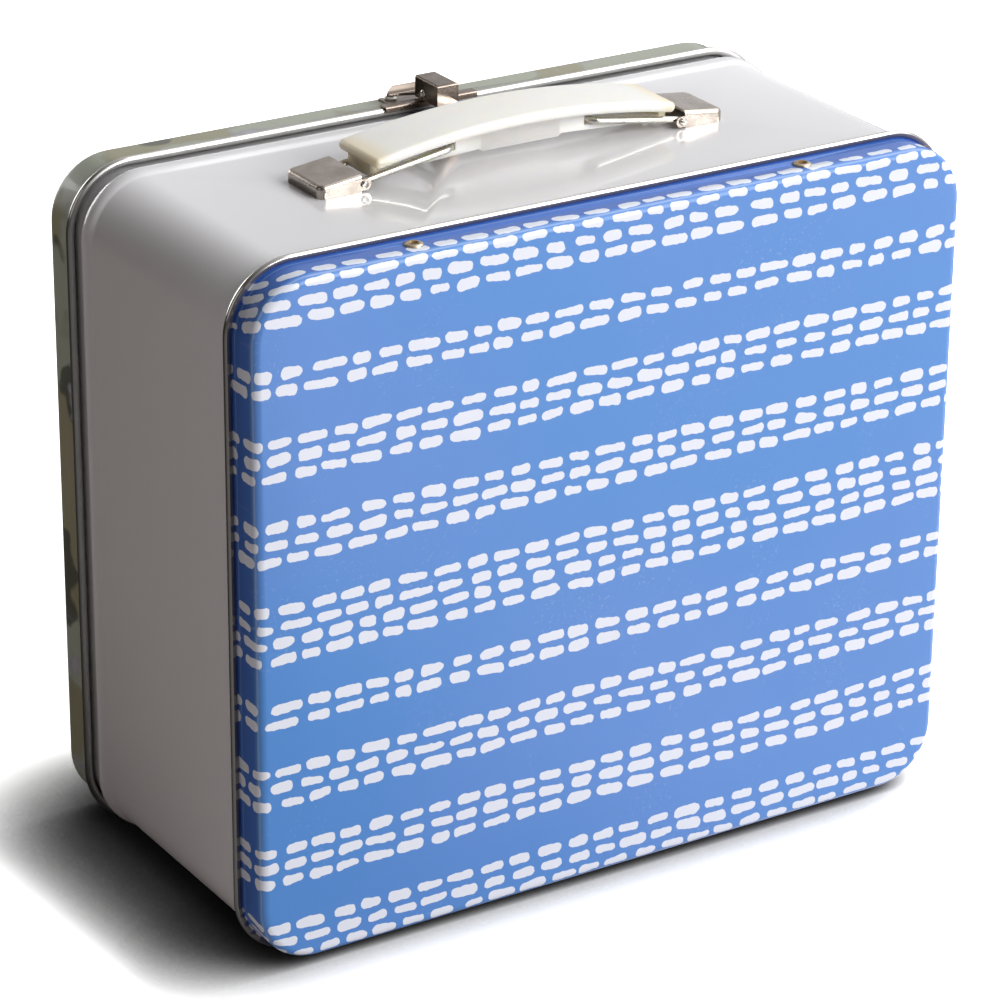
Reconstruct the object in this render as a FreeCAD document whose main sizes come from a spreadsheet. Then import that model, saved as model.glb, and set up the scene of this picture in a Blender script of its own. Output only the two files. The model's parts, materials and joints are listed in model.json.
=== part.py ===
import FreeCAD, Part
import math
import os
import Sketcher

# A tinplate lunch box: a white band with a blue pan riveted on its front, a hinged lid pan on its
# back, a carrying grip on two wire links, and a nickel latch at the top of the lid.
# Millimetres. X is the width, -Y the front, +Z up. The origin is under the middle, on the table.

# Case
case_width = 203
case_height = 178
case_depth = 104
corner_radius = 16
tinplate = 0.35
curl_radius = 1.0
face_edge_radius = 2.5
panel_flange = 10.5
lid_flange = 13.7
# Bead and neck of the band
bead_width = 6.4
bead_height = 1.3
bead_to_curl = 7.2
neck_drop = 0.55
neck_slope = 1.0
neck_length = 6
band_setback = 0.1
# Rivets
rivet_spread = 111
rivet_head = 3.4
panel_rivet_head = 4.8
rivet_shank = 2.2
rivet_head_height = 0.6
rivet_dimple_share = 0.42
rivet_play = 0.05
# Hinges
hinge_spread = 110
hinge_strap_width = 15
hinge_strap_sheet = 0.3
hinge_strap_length = 13
strap_slope_start = 0.6
strap_slope_end = 1.4
hinge_wire = 1.2
hinge_play = 0.05
hinge_window_play = 0.5
hinge_wire_overhang = 9
hinge_rivet_spread = 9
# Grip
grip_length = 87
grip_width = 19
grip_top = 12
grip_rise = 4.4
grip_plate = 2.8
grip_edge_radius = 1.3
web_width = 10.4
web_end_gap = 2.2
web_mid_gap = 3.9
pad_gap = 3.2
pad_length = 22
web_inset = 0.5
slot_start = 37.4
slot_end_wall = 2.0
slot_floor_inner = 4.8
slot_floor_outer = 3.5
# Wire links
link_wire = 1.8
link_spacing = 13
link_bend = 2.4
link_stub_bend = 1.1
link_pivot_spread = 92.4
link_pivot_height = 1.9
link_rest_spread = 40
link_rest_height = 6.1
link_stub = 2.4
link_play = 0.06
# Handle brackets
bracket_width = 16.8
bracket_sheet = 0.6
bracket_length = 11.7
bracket_hood_gap = 0.8
bracket_low = 3.2
bracket_high = 4.6
bracket_ear = 2.6
bracket_ear_round = 1.1
bracket_ear_gap = 0.4
bracket_edge_radius = 1.2
bracket_corner_radius = 1.9
tab_length = 6
tab_depth = 2.0
tab_inset = 1.2
tab_play = 0.1
# Latch
housing_width = 6.2
housing_length = 11
housing_behind_pin = 4.2
housing_top = 8.8
housing_floor = 3.2
housing_sheet = 0.5
housing_edge_radius = 0.6
latch_pin_to_curl = 2.5
latch_pin_height = 5
latch_pin_size = 2
latch_pin_head = 0.6
latch_play = 0.05
latch_plate_width = 16
latch_plate_length = 10
latch_plate_gap = 0.4
latch_rivet_spread = 10
lever_side_play = 0.25
lever_hub = 3.6
lever_sheet = 0.7
lever_arm = 2.5
lever_tab_width = 20
lever_tab_end = 9.6
lever_tab_rise = 1.5
lever_tab_rear = 9
lever_tab_tip = 2.8
lever_tab_hollow = 0.5
lever_tab_bow = 0.7
strike_width = 27
strike_sheet = 0.5
strike_foot = 11
strike_foot_width = 17
strike_rivet_edge = 1.9
strike_play = 0.05
strike_rivet_spread = 12

# Every size above becomes a row of the document's sheet, under its own name
doc = FreeCAD.newDocument("lunch_box")
sheet = doc.addObject("Spreadsheet::Sheet", "sizes")
NAMES = [name for name, number in globals().items() if isinstance(number, (int, float))]
for row, name in enumerate(NAMES, 1):
    sheet.set("A%d" % row, name)
    sheet.set("B%d" % row, str(globals()[name]))
    sheet.setAlias("B%d" % row, name)
doc.recompute()


def val(alias):
    """The number that the sheet holds under this name."""
    return float(sheet.get(alias))


def bind(thing, path, words):
    """Ties a property to a formula of the sheet's names, written without the sheet's own name."""
    text = words
    for name in sorted(NAMES, key=len, reverse=True):
        text = replace_word(text, name)
    thing.setExpression(path, text)


def replace_word(text, name):
    """Puts the sheet's name before one alias, wherever it stands as a whole word."""
    out = ""
    rest = text
    while name in rest:
        at = rest.index(name)
        before = rest[at - 1] if at else " "
        after = rest[at + len(name)] if at + len(name) < len(rest) else " "
        whole = not (before.isalnum() or before in "_.") and not (after.isalnum() or after == "_")
        out += rest[:at] + ("sizes." + name if whole else name)
        rest = rest[at + len(name):]
    return out + rest


# Heights and places that several pieces share, as formulas of the sizes
CURL_PROUD = "(2 * curl_radius - tinplate / 2)"
MIDDLE = "(case_height / 2 + %s)" % CURL_PROUD
BAND_TOP = "(case_height + %s - tinplate)" % CURL_PROUD
BAND_BOTTOM = "(%s + tinplate)" % CURL_PROUD
PANEL_CURL_Y = "(panel_flange - case_depth / 2)"
LID_CURL_Y = "(case_depth / 2 - lid_flange)"
BEAD_Y = "(%s - bead_to_curl)" % LID_CURL_Y
RIVET_Y = "(%s - panel_flange / 2)" % PANEL_CURL_Y


def number(words):
    """Works out a formula of the sheet's names."""
    text = words
    for name in sorted(NAMES, key=len, reverse=True):
        text = replace_word(text, name)
    return float(sheet.evalExpression(text))


def new_body(label):
    body = doc.addObject("PartDesign::Body", label)
    body.Label = label
    return body


def place(thing, x="0", y="0", z="0", turn=0.0, axis=(0, 0, 1)):
    """Puts a sub-part at a place given by formulas, turned about an axis by an angle in degrees."""
    thing.Placement = FreeCAD.Placement(FreeCAD.Vector(), FreeCAD.Rotation(FreeCAD.Vector(*axis), turn))
    for letter, words in (("x", x), ("y", y), ("z", z)):
        bind(thing, "Placement.Base." + letter, words)


def new_sketch(body, name, plane, offset=None):
    """A sketch on one of the body's own planes, moved along that plane's normal by a formula."""
    sketch = body.newObject("Sketcher::SketchObject", name)
    support = [f for f in body.Origin.OriginFeatures if f.Role == plane][0]
    sketch.AttachmentSupport = [(support, "")]
    sketch.MapMode = "FlatFace"
    if offset:
        bind(sketch, "AttachmentOffset.Base.z", offset)
    return sketch


def lock(sketch, geometry, end, x, y):
    """Holds one end of a line or arc at a place given by two formulas."""
    for kind, words in (("DistanceX", x), ("DistanceY", y)):
        index = sketch.addConstraint(Sketcher.Constraint(kind, -1, 1, geometry, end, number(words)))
        bind(sketch, "Constraints[%d]" % index, words)


def bowed_arc(here, there, bow):
    """The arc between two points that stands out by bow, to the left of the way from here to there."""
    along = there - here
    left = FreeCAD.Vector(-along.y, along.x, 0).normalize()
    radius = (along.Length ** 2 / 4 + bow ** 2) / (2 * abs(bow))
    centre = (here + there) * 0.5 + left * (bow - math.copysign(radius, bow))
    first, last = (there, here) if bow > 0 else (here, there)
    angles = [math.atan2(spot.y - centre.y, spot.x - centre.x) for spot in (first, last)]
    if angles[1] < angles[0]:
        angles[1] += 2 * math.pi
    return Part.ArcOfCircle(Part.Circle(centre, FreeCAD.Vector(0, 0, 1), radius), angles[0], angles[1])


def outline(sketch, corners):
    """A closed outline through corners, each a pair of formulas. A third value makes the stretch
    to the next corner an arc that bows out by that formula, to the left of its direction."""
    spots = [FreeCAD.Vector(number(c[0]), number(c[1]), 0) for c in corners]
    for index, corner in enumerate(corners):
        here = spots[index]
        there = spots[(index + 1) % len(spots)]
        if len(corner) == 2:
            sketch.addGeometry(Part.LineSegment(here, there), False)
            lock(sketch, index, 1, corner[0], corner[1])
            continue
        sketch.addGeometry(bowed_arc(here, there, number(corner[2])), False)
        begins = 2 if number(corner[2]) > 0 else 1
        following = corners[(index + 1) % len(corners)]
        lock(sketch, index, begins, corner[0], corner[1])
        lock(sketch, index, 3 - begins, following[0], following[1])
        chord = "sqrt((%s - (%s))^2 + (%s - (%s))^2)" % (following[0], corner[0], following[1], corner[1])
        words = "((%s)^2 / 4 + (%s)^2) / (2 * abs(%s))" % (chord, corner[2], corner[2])
        radius = sketch.addConstraint(Sketcher.Constraint("Radius", index, number(words)))
        bind(sketch, "Constraints[%d]" % radius, words)
    for index, corner in enumerate(corners):
        follow = (index + 1) % len(corners)
        if len(corner) == 2 and len(corners[follow]) == 2:
            sketch.addConstraint(Sketcher.Constraint("Coincident", index, 2, follow, 1))
        elif len(corner) == 2:
            following = corners[follow]
            lock(sketch, index, 2, following[0], following[1])


def rounded_rectangle(sketch, width, height, radius):
    """A rectangle about the sketch's origin with four equal round corners."""
    w = number(width) / 2
    h = number(height) / 2
    r = number(radius)
    centres = [(w - r, h - r), (r - w, h - r), (r - w, r - h), (w - r, r - h)]
    for quarter, (x, y) in enumerate(centres):
        circle = Part.Circle(FreeCAD.Vector(x, y, 0), FreeCAD.Vector(0, 0, 1), r)
        start = quarter * math.pi / 2
        sketch.addGeometry(Part.ArcOfCircle(circle, start, start + math.pi / 2), False)
    for quarter in range(4):
        arc = sketch.Geometry[quarter]
        following = sketch.Geometry[(quarter + 1) % 4]
        sketch.addGeometry(Part.LineSegment(arc.EndPoint, following.StartPoint), False)
    for quarter in range(4):
        line = 4 + quarter
        sketch.addConstraint(Sketcher.Constraint("Tangent", quarter, 2, line, 1))
        sketch.addConstraint(Sketcher.Constraint("Tangent", line, 2, (quarter + 1) % 4, 1))
        sketch.addConstraint(Sketcher.Constraint("Vertical" if quarter % 2 else "Horizontal", line))
    for quarter in range(1, 4):
        sketch.addConstraint(Sketcher.Constraint("Equal", 0, quarter))
    index = sketch.addConstraint(Sketcher.Constraint("Radius", 0, r))
    bind(sketch, "Constraints[%d]" % index, radius)
    sides = (("DistanceY", 4, h, "(%s) / 2" % height), ("DistanceX", 5, -w, "-(%s) / 2" % width),
             ("DistanceY", 6, -h, "-(%s) / 2" % height), ("DistanceX", 7, w, "(%s) / 2" % width))
    for kind, line, distance, words in sides:
        index = sketch.addConstraint(Sketcher.Constraint(kind, -1, 1, line, 1, distance))
        bind(sketch, "Constraints[%d]" % index, words)


def circles(sketch, spots, diameter):
    """Equal circles about places given by formulas."""
    for x, y in spots:
        centre = FreeCAD.Vector(number(x), number(y), 0)
        index = sketch.addGeometry(Part.Circle(centre, FreeCAD.Vector(0, 0, 1), number(diameter) / 2), False)
        lock(sketch, index, 3, x, y)
        held = sketch.addConstraint(Sketcher.Constraint("Diameter", index, number(diameter)))
        bind(sketch, "Constraints[%d]" % held, diameter)


def pad(body, sketch, length, both=False, back=False):
    feature = body.newObject("PartDesign::Pad", sketch.Name + "_pad")
    feature.Profile = sketch
    bind(feature, "Length", length)
    feature.Midplane = both
    feature.Reversed = back
    doc.recompute()
    return feature


def pocket(body, sketch, length, both=False, back=False):
    """Cuts a sketch out of the body, and makes sure that it took something away."""
    before = body.Shape.Volume
    feature = body.newObject("PartDesign::Pocket", sketch.Name + "_pocket")
    feature.Profile = sketch
    bind(feature, "Length", length)
    feature.Midplane = both
    feature.Reversed = back
    doc.recompute()
    if body.Shape.Volume > before - 1e-6:
        raise ValueError(sketch.Name + " cuts nothing")
    return feature


def pipe(body, profile, spine):
    feature = body.newObject("PartDesign::AdditivePipe", spine.Name + "_pipe")
    feature.Profile = profile
    feature.Spine = spine
    doc.recompute()
    return feature


def fillet(body, base, radius, chosen):
    """Rounds those edges of a feature that the test picks."""
    names = ["Edge%d" % (n + 1) for n, edge in enumerate(base.Shape.Edges) if chosen(edge)]
    feature = body.newObject("PartDesign::Fillet", base.Name + "_fillet")
    feature.Base = (base, names)
    bind(feature, "Radius", radius)
    doc.recompute()
    return feature


def hollow(body, base, wall, chosen):
    """Leaves a wall inside a feature's skin, open at the faces that the test picks."""
    names = ["Face%d" % (n + 1) for n, face in enumerate(base.Shape.Faces) if chosen(face)]
    feature = body.newObject("PartDesign::Thickness", base.Name + "_hollow")
    feature.Base = (base, names)
    bind(feature, "Value", wall)
    feature.Reversed = True
    feature.Join = 1
    doc.recompute()
    return feature


def near(a, b):
    return abs(a - b) < 1e-4


def make_pan(label, depth):
    """A pressed pan with its face towards -Y and its curled rim about the plane y = 0."""
    body = new_body(label)
    plan = new_sketch(body, label + "_plan", "XZ_Plane")
    rounded_rectangle(plan, "case_width", "case_height", "corner_radius")
    block = pad(body, plan, depth)
    face_y = -number(depth)
    soft = fillet(body, block, "face_edge_radius", lambda e: near(e.BoundBox.YMax, face_y))
    hollow(body, soft, "tinplate", lambda f: near(f.BoundBox.YMin, 0) and near(f.BoundBox.YMax, 0))
    spine = new_sketch(body, label + "_rim_path", "XZ_Plane")
    rounded_rectangle(spine, "case_width", "case_height", "corner_radius")
    rim = new_sketch(body, label + "_rim", "YZ_Plane")
    heart = "case_height / 2 - tinplate / 2 + curl_radius"
    circles(rim, [("0", heart)], "2 * curl_radius")
    pipe(body, rim, spine)
    return body


def make_front_panel():
    body = make_pan("front_panel", "panel_flange")
    place(body, y=PANEL_CURL_Y, z=MIDDLE)
    holes = new_sketch(body, "panel_rivet_holes", "XY_Plane")
    spots = [("rivet_spread / 2", "-panel_flange / 2"), ("-rivet_spread / 2", "-panel_flange / 2")]
    circles(holes, spots, "rivet_shank + 2 * rivet_play")
    pocket(body, holes, "case_height + 2", both=True)
    return body


def make_lid():
    """The back pan. Its rim is cut open at two windows, where the hinge straps reach the wire."""
    body = make_pan("lid", "lid_flange")
    place(body, y=LID_CURL_Y, z=MIDDLE, turn=180)
    windows = new_sketch(body, "hinge_windows", "XY_Plane", offset="-case_height / 2")
    cut = "(hinge_strap_width / 2 + hinge_window_play)"
    front = "1.5 * curl_radius"
    for sign in ("", "-"):
        middle = "%shinge_spread / 2" % sign
        part_outline(windows, "%s - %s" % (middle, cut), "%s + %s" % (middle, cut), "-" + front, front)
    pocket(body, windows, "6 * curl_radius", both=True)
    bore = new_sketch(body, "hinge_wire_bore", "YZ_Plane")
    circles(bore, [("0", "tinplate / 2 - case_height / 2 - curl_radius")], "hinge_wire + 2 * hinge_play")
    pocket(body, bore, "hinge_spread + hinge_strap_width + 2 * hinge_wire_overhang + 1", both=True)
    holes = new_sketch(body, "strike_rivet_holes", "XY_Plane", offset="case_height / 2")
    behind = "-" + STRIKE_RIVET
    spots = [("strike_rivet_spread / 2", behind), ("-strike_rivet_spread / 2", behind)]
    circles(holes, spots, "rivet_shank + 2 * rivet_play")
    pocket(body, holes, "4 * tinplate", both=True)
    return body


def part_outline(sketch, left, right, low, high):
    """Adds one rectangle, its sides given by formulas, to a sketch that may hold others."""
    corners = [(left, low), (right, low), (right, high), (left, high)]
    first = sketch.GeometryCount
    spots = [FreeCAD.Vector(number(x), number(y), 0) for x, y in corners]
    for index in range(4):
        sketch.addGeometry(Part.LineSegment(spots[index], spots[(index + 1) % 4]), False)
    for index in range(4):
        lock(sketch, first + index, 1, corners[index][0], corners[index][1])
        sketch.addConstraint(Sketcher.Constraint("Coincident", first + index, 2, first + (index + 1) % 4, 1))


STRIKE_RIVET = "(strike_foot - strike_rivet_edge)"


def make_band():
    """The tube of the case, with a bead beside the lid and a neck that goes inside the lid."""
    body = new_body("body_band")
    place(body, z=MIDDLE)
    spine = new_sketch(body, "band_path", "XZ_Plane")
    rounded_rectangle(spine, "case_width - 2 * tinplate", "case_height - 2 * tinplate",
                      "corner_radius - tinplate")
    section = new_sketch(body, "band_section", "YZ_Plane")
    front = "-(case_depth / 2 - face_edge_radius - band_setback)"
    outer = "case_height / 2 - tinplate"
    inner = "case_height / 2 - 2 * tinplate"
    bead_front = "%s - bead_width / 2" % BEAD_Y
    bead_rear = "%s + bead_width / 2" % BEAD_Y
    neck_front = "%s + bead_width / 2 + neck_slope" % BEAD_Y
    neck_rear = "%s + neck_length" % LID_CURL_Y
    outline(section, [
        (front, outer),
        (bead_front, outer, "bead_height"),
        (bead_rear, outer),
        (neck_front, "%s - neck_drop" % outer),
        (neck_rear, "%s - neck_drop" % outer),
        (neck_rear, "%s - neck_drop" % inner),
        (neck_front, "%s - neck_drop" % inner),
        (bead_rear, inner, "-bead_height"),
        (bead_front, inner),
        (front, inner),
    ])
    pipe(body, section, spine)
    holes = new_sketch(body, "band_rivet_holes", "XY_Plane")
    spots = [("rivet_spread / 2", RIVET_Y), ("-rivet_spread / 2", RIVET_Y)]
    circles(holes, spots, "rivet_shank + 2 * rivet_play")
    pocket(body, holes, "case_height + 2", both=True)
    slits = new_sketch(body, "bracket_slits", "XY_Plane", offset="case_height / 2")
    for x_sign in ("", "-"):
        for y_sign in ("", "-"):
            near_x = "%s(%s - tab_play)" % (x_sign, TAB_NEAR)
            far_x = "%s(%s + tab_play)" % (x_sign, TAB_FAR)
            near_y = "%s(bracket_width / 2 - bracket_sheet - tab_play)" % y_sign
            far_y = "%s(bracket_width / 2 + tab_play)" % y_sign
            part_outline(slits, near_x, far_x, near_y, far_y)
    pocket(body, slits, "8 * tinplate", both=True)
    latch_holes = new_sketch(body, "latch_rivet_holes", "XY_Plane", offset="case_height / 2")
    latch_spots = [("latch_rivet_spread / 2", LATCH_RIVET_Y), ("-latch_rivet_spread / 2", LATCH_RIVET_Y)]
    circles(latch_holes, latch_spots, "rivet_shank + 2 * rivet_play")
    pocket(body, latch_holes, "8 * tinplate", both=True)
    strap_holes = new_sketch(body, "hinge_rivet_holes", "XY_Plane", offset="-case_height / 2")
    circles(strap_holes, HINGE_RIVET_SPOTS, "rivet_shank + 2 * rivet_play")
    pocket(body, strap_holes, "8 * tinplate", both=True)
    return body


# The bracket's hood ends just outside the link's pivot, so that the link can stand up beside it
BRACKET_NEAR = "(link_pivot_spread / 2 + bracket_hood_gap)"
BRACKET_FAR = "(%s + bracket_length)" % BRACKET_NEAR
TAB_FAR = "(%s - tab_inset)" % BRACKET_FAR
TAB_NEAR = "(%s - tab_inset - tab_length)" % BRACKET_FAR
HOUSING_FRONT = "(%s - latch_pin_to_curl + housing_behind_pin - housing_length)" % LID_CURL_Y
LATCH_PLATE_REAR = "(%s - bead_width / 2 - latch_plate_gap)" % BEAD_Y
LATCH_RIVET_Y = "(%s - latch_plate_length / 2)" % LATCH_PLATE_REAR
STRAP_FRONT = "(%s - bead_width / 2 - hinge_strap_length)" % BEAD_Y
HINGE_RIVET_Y = "(%s + hinge_strap_length / 2)" % STRAP_FRONT
HINGE_RIVET_SPOTS = [("%shinge_spread / 2 %s hinge_rivet_spread / 2" % (sign, side), HINGE_RIVET_Y)
                     for sign in ("", "-") for side in ("+", "-")]


def rivet_shape(grip, head_size):
    """One semi-tubular rivet along Z: its head above z = 0, its set end below the gripped sheets."""
    head = head_size / 2
    shank = val("rivet_shank") / 2
    tall = val("rivet_head_height")
    dimple = head_size * val("rivet_dimple_share") / 2
    points = [(0, tall * 0.4), (dimple, tall * 0.4), (dimple + tall * 0.3, tall), (head - tall * 0.6, tall),
              (head, tall * 0.35), (head, 0), (shank, 0), (shank, -grip), (shank * 1.32, -grip),
              (shank * 1.1, -grip - tall), (0, -grip - tall)]
    corners = [FreeCAD.Vector(x, 0, z) for x, z in points]
    face = Part.Face(Part.makePolygon(corners + corners[:1]))
    return face.revolve(FreeCAD.Vector(), FreeCAD.Vector(0, 0, 1), 360)


def make_rivets(label, spots, grip, head_size):
    """A group of equal rivets. Each spot is x, y, z and the way its head faces, +1 up or -1 down."""
    solids = []
    for x, y, z, way in spots:
        solid = rivet_shape(grip, head_size)
        if way < 0:
            solid.rotate(FreeCAD.Vector(), FreeCAD.Vector(1, 0, 0), 180)
        solid.translate(FreeCAD.Vector(x, y, z))
        solids.append(solid)
    group = doc.addObject("Part::Feature", label)
    group.Label = label
    group.Shape = Part.makeCompound(solids)
    group.Placement = FreeCAD.Placement()
    return group


def make_bracket(label, side):
    """A stamped bracket over the end of one link, open towards the grip, with tabs through the band."""
    body = new_body(label)
    place(body, z=BAND_TOP, turn=0 if side > 0 else 180)
    profile = new_sketch(body, label + "_profile", "XZ_Plane")
    outline(profile, [
        (BRACKET_NEAR, "0"),
        (BRACKET_FAR, "0"),
        (BRACKET_FAR, "bracket_low"),
        (BRACKET_NEAR, "bracket_high"),
    ])
    block = pad(body, profile, "bracket_width", both=True)
    close = number(BRACKET_NEAR)
    far = number(BRACKET_FAR)
    block = fillet(body, block, "bracket_corner_radius",
                   lambda e: near(e.BoundBox.XMin, far) and e.BoundBox.YLength < 1e-4)
    fillet(body, block, "bracket_edge_radius",
           lambda e: e.BoundBox.ZMax > val("bracket_low") - 1e-4 and not near(e.BoundBox.XMax, close))
    ears = new_sketch(body, label + "_ears", "XZ_Plane")
    ear_tip = "(%s - bracket_ear)" % BRACKET_NEAR
    outline(ears, [
        ("%s + bracket_ear_round" % ear_tip, "bracket_ear_gap", "bracket_ear_round"),
        ("%s + bracket_ear_round" % ear_tip, "bracket_low"),
        ("%s + bracket_sheet" % BRACKET_NEAR, "bracket_low"),
        ("%s + bracket_sheet" % BRACKET_NEAR, "bracket_ear_gap"),
    ])
    pad(body, ears, "bracket_width", both=True)
    room = new_sketch(body, label + "_room", "XZ_Plane")
    outline(room, [
        ("%s - 1" % ear_tip, "-1"),
        ("%s - bracket_sheet" % BRACKET_FAR, "-1"),
        ("%s - bracket_sheet" % BRACKET_FAR, "bracket_low - bracket_sheet"),
        (BRACKET_NEAR, "bracket_high - bracket_sheet"),
        ("%s - 1" % ear_tip, "bracket_high - bracket_sheet"),
    ])
    pocket(body, room, "bracket_width - 2 * bracket_sheet", both=True)
    bores = new_sketch(body, label + "_bores", "XZ_Plane")
    circles(bores, [("link_pivot_spread / 2", "link_pivot_height")], "link_wire + 2 * link_play")
    pocket(body, bores, "bracket_width + 2", both=True)
    tabs = new_sketch(body, label + "_tabs", "XY_Plane")
    for sign in ("", "-"):
        part_outline(tabs, TAB_NEAR, TAB_FAR, "%s(bracket_width / 2 - bracket_sheet)" % sign,
                     "%sbracket_width / 2" % sign)
    pad(body, tabs, "tab_depth", back=True)
    return body


LINK_RUN = "((link_pivot_spread - link_rest_spread) / 2)"
LINK_RISE = "(link_rest_height - link_pivot_height)"
LINK_LENGTH = "sqrt(%s^2 + %s^2)" % (LINK_RUN, LINK_RISE)


def make_link(label, side):
    """A wire link: a U whose closed end runs through the grip and whose ends turn in the bracket."""
    body = new_body(label)
    tilt = math.degrees(math.atan2(number(LINK_RISE), number(LINK_RUN)))
    turn = FreeCAD.Rotation(FreeCAD.Vector(0, 0, 1), 180 if side > 0 else 0)
    turn = turn.multiply(FreeCAD.Rotation(FreeCAD.Vector(0, 1, 0), -tilt))
    body.Placement = FreeCAD.Placement(FreeCAD.Vector(), turn)
    bind(body, "Placement.Base.x", "%slink_pivot_spread / 2" % ("" if side > 0 else "-"))
    bind(body, "Placement.Base.z", "%s + link_pivot_height" % BAND_TOP)
    path = new_sketch(body, label + "_path", "XY_Plane")
    half = val("link_spacing") / 2
    tight = val("link_stub_bend")
    wide = val("link_bend")
    long = number(LINK_LENGTH)
    stub = half + val("link_stub")
    chain = [(0, stub), (0, half), (long, half), (long, -half), (0, -half), (0, -stub)]
    bent_path(path, chain, [tight, wide, wide, tight])
    ring = new_sketch(body, label + "_ring", "XZ_Plane", offset="-(link_spacing / 2 + link_stub)")
    circles(ring, [("0", "0")], "link_wire")
    pipe(body, ring, path)
    return body


def bent_path(sketch, chain, bends):
    """Straight runs through the corners of a chain, joined by arcs of the given bend radii."""
    spots = [FreeCAD.Vector(x, y, 0) for x, y in chain]
    start = spots[0]
    for index in range(1, len(spots) - 1):
        bend = bends[index - 1]
        into = (spots[index] - spots[index - 1]).normalize()
        out = (spots[index + 1] - spots[index]).normalize()
        begin = spots[index] - into * bend
        end = spots[index] + out * bend
        middle = spots[index] + (out - into) * (bend * (1 - math.sqrt(0.5)))
        if begin.distanceToPoint(start) > 1e-6:
            sketch.addGeometry(Part.LineSegment(start, begin), False)
        sketch.addGeometry(Part.Arc(begin, middle, end), False)
        start = end
    sketch.addGeometry(Part.LineSegment(start, spots[-1]), False)
    for index in range(sketch.GeometryCount):
        sketch.addConstraint(Sketcher.Constraint("Block", index))


def make_grip():
    """The moulded grip: an arched plate on a narrower web, with a slot for each link's closed end."""
    body = new_body("grip")
    place(body, z=BAND_TOP)
    plate = new_sketch(body, "grip_plate_side", "XZ_Plane")
    half = "grip_length / 2"
    end_top = "grip_top - grip_rise"
    outline(plate, [
        ("-" + half, end_top, "grip_rise"),
        (half, end_top),
        (half, "%s - grip_plate" % end_top, "-grip_rise"),
        ("-" + half, "%s - grip_plate" % end_top),
    ])
    top = pad(body, plate, "grip_width", both=True)
    side = val("grip_width") / 2
    soft = fillet(body, top, "grip_edge_radius",
                  lambda e: near(abs(e.BoundBox.YMin), side) or near(abs(e.BoundBox.YMax), side))
    web = new_sketch(body, "grip_web_side", "XZ_Plane")
    outer = "(%s - web_inset)" % half
    post = "(%s - web_inset - slot_end_wall)" % half
    slot = "slot_start / 2"
    pad_end = "pad_length / 2"
    step = "(pad_length / 2 + 1)"
    under_end = "grip_top - grip_rise - grip_plate * 0.4"
    under_slot = "grip_top - grip_plate * 0.7"
    outline(web, [
        ("-" + outer, under_end), ("-" + outer, "web_end_gap"), ("-" + step, "web_mid_gap"),
        ("-" + pad_end, "pad_gap"), (pad_end, "pad_gap"), (step, "web_mid_gap"),
        (outer, "web_end_gap"), (outer, under_end), (post, under_end), (post, "slot_floor_outer"),
        (slot, "slot_floor_inner"), (slot, under_slot), ("-" + slot, under_slot),
        ("-" + slot, "slot_floor_inner"), ("-" + post, "slot_floor_outer"), ("-" + post, under_end),
    ])
    pad(body, web, "web_width", both=True)
    return body


LATCH_PIN_Y = "(%s - latch_pin_to_curl)" % LID_CURL_Y
LATCH_PIN_Z = "(%s + latch_pin_height)" % BAND_TOP


def make_latch_housing():
    """The box of the latch, standing over the bead on a plate that is riveted to the band."""
    body = new_body("latch_housing")
    place(body, y=HOUSING_FRONT, z=BAND_TOP)
    plan = new_sketch(body, "housing_plan", "XY_Plane", offset="housing_floor")
    part_outline(plan, "-housing_width / 2", "housing_width / 2", "0", "housing_length")
    block = pad(body, plan, "housing_top - housing_floor")
    top = val("housing_top")
    long = val("housing_length")
    fillet(body, block, "housing_edge_radius",
           lambda e: near(e.BoundBox.ZMin, top) and not near(e.BoundBox.YMin, long))
    room = new_sketch(body, "housing_room", "YZ_Plane")
    part_outline(room, "housing_sheet", "housing_length + 1", "housing_floor - 1",
                 "housing_top - housing_sheet")
    pocket(body, room, "housing_width - 2 * housing_sheet", both=True)
    rear = "(%s - %s)" % (LATCH_PLATE_REAR, HOUSING_FRONT)
    foot = new_sketch(body, "housing_foot", "YZ_Plane")
    outline(foot, [
        ("%s - latch_plate_length" % rear, "0"),
        (rear, "0"),
        (rear, "housing_floor"),
        ("housing_sheet", "housing_floor"),
        ("housing_sheet", "housing_floor + housing_sheet"),
        ("%s - housing_sheet" % rear, "housing_floor + housing_sheet"),
        ("%s - housing_sheet" % rear, "housing_sheet"),
        ("%s - latch_plate_length" % rear, "housing_sheet"),
    ])
    pad(body, foot, "housing_width", both=True)
    wide = new_sketch(body, "housing_plate", "XY_Plane")
    part_outline(wide, "-latch_plate_width / 2", "latch_plate_width / 2",
                 "%s - latch_plate_length" % rear, "%s - 2 * housing_sheet" % rear)
    pad(body, wide, "housing_sheet")
    holes = new_sketch(body, "housing_rivet_holes", "XY_Plane")
    rivet_y = "%s - latch_plate_length / 2" % rear
    spots = [("latch_rivet_spread / 2", rivet_y), ("-latch_rivet_spread / 2", rivet_y)]
    circles(holes, spots, "rivet_shank + 2 * rivet_play")
    pocket(body, holes, "4 * housing_sheet", both=True)
    bore = new_sketch(body, "housing_bore", "YZ_Plane")
    circles(bore, [("%s - %s" % (LATCH_PIN_Y, HOUSING_FRONT), "latch_pin_height")],
            "latch_pin_size + 2 * latch_play")
    pocket(body, bore, "housing_width + 2", both=True)
    return body


def make_latch_pin():
    """The latch's pin: a shank across the housing with a low round head on each side."""
    body = new_body("latch_pin")
    place(body, y=LATCH_PIN_Y, z=LATCH_PIN_Z)
    ring = new_sketch(body, "latch_pin_ring", "YZ_Plane")
    circles(ring, [("0", "0")], "latch_pin_size")
    shank = pad(body, ring, "housing_width + 2 * latch_pin_head", both=True)
    fillet(body, shank, "latch_pin_head * 0.8", lambda e: e.BoundBox.XLength < 1e-4)
    return body


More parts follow.
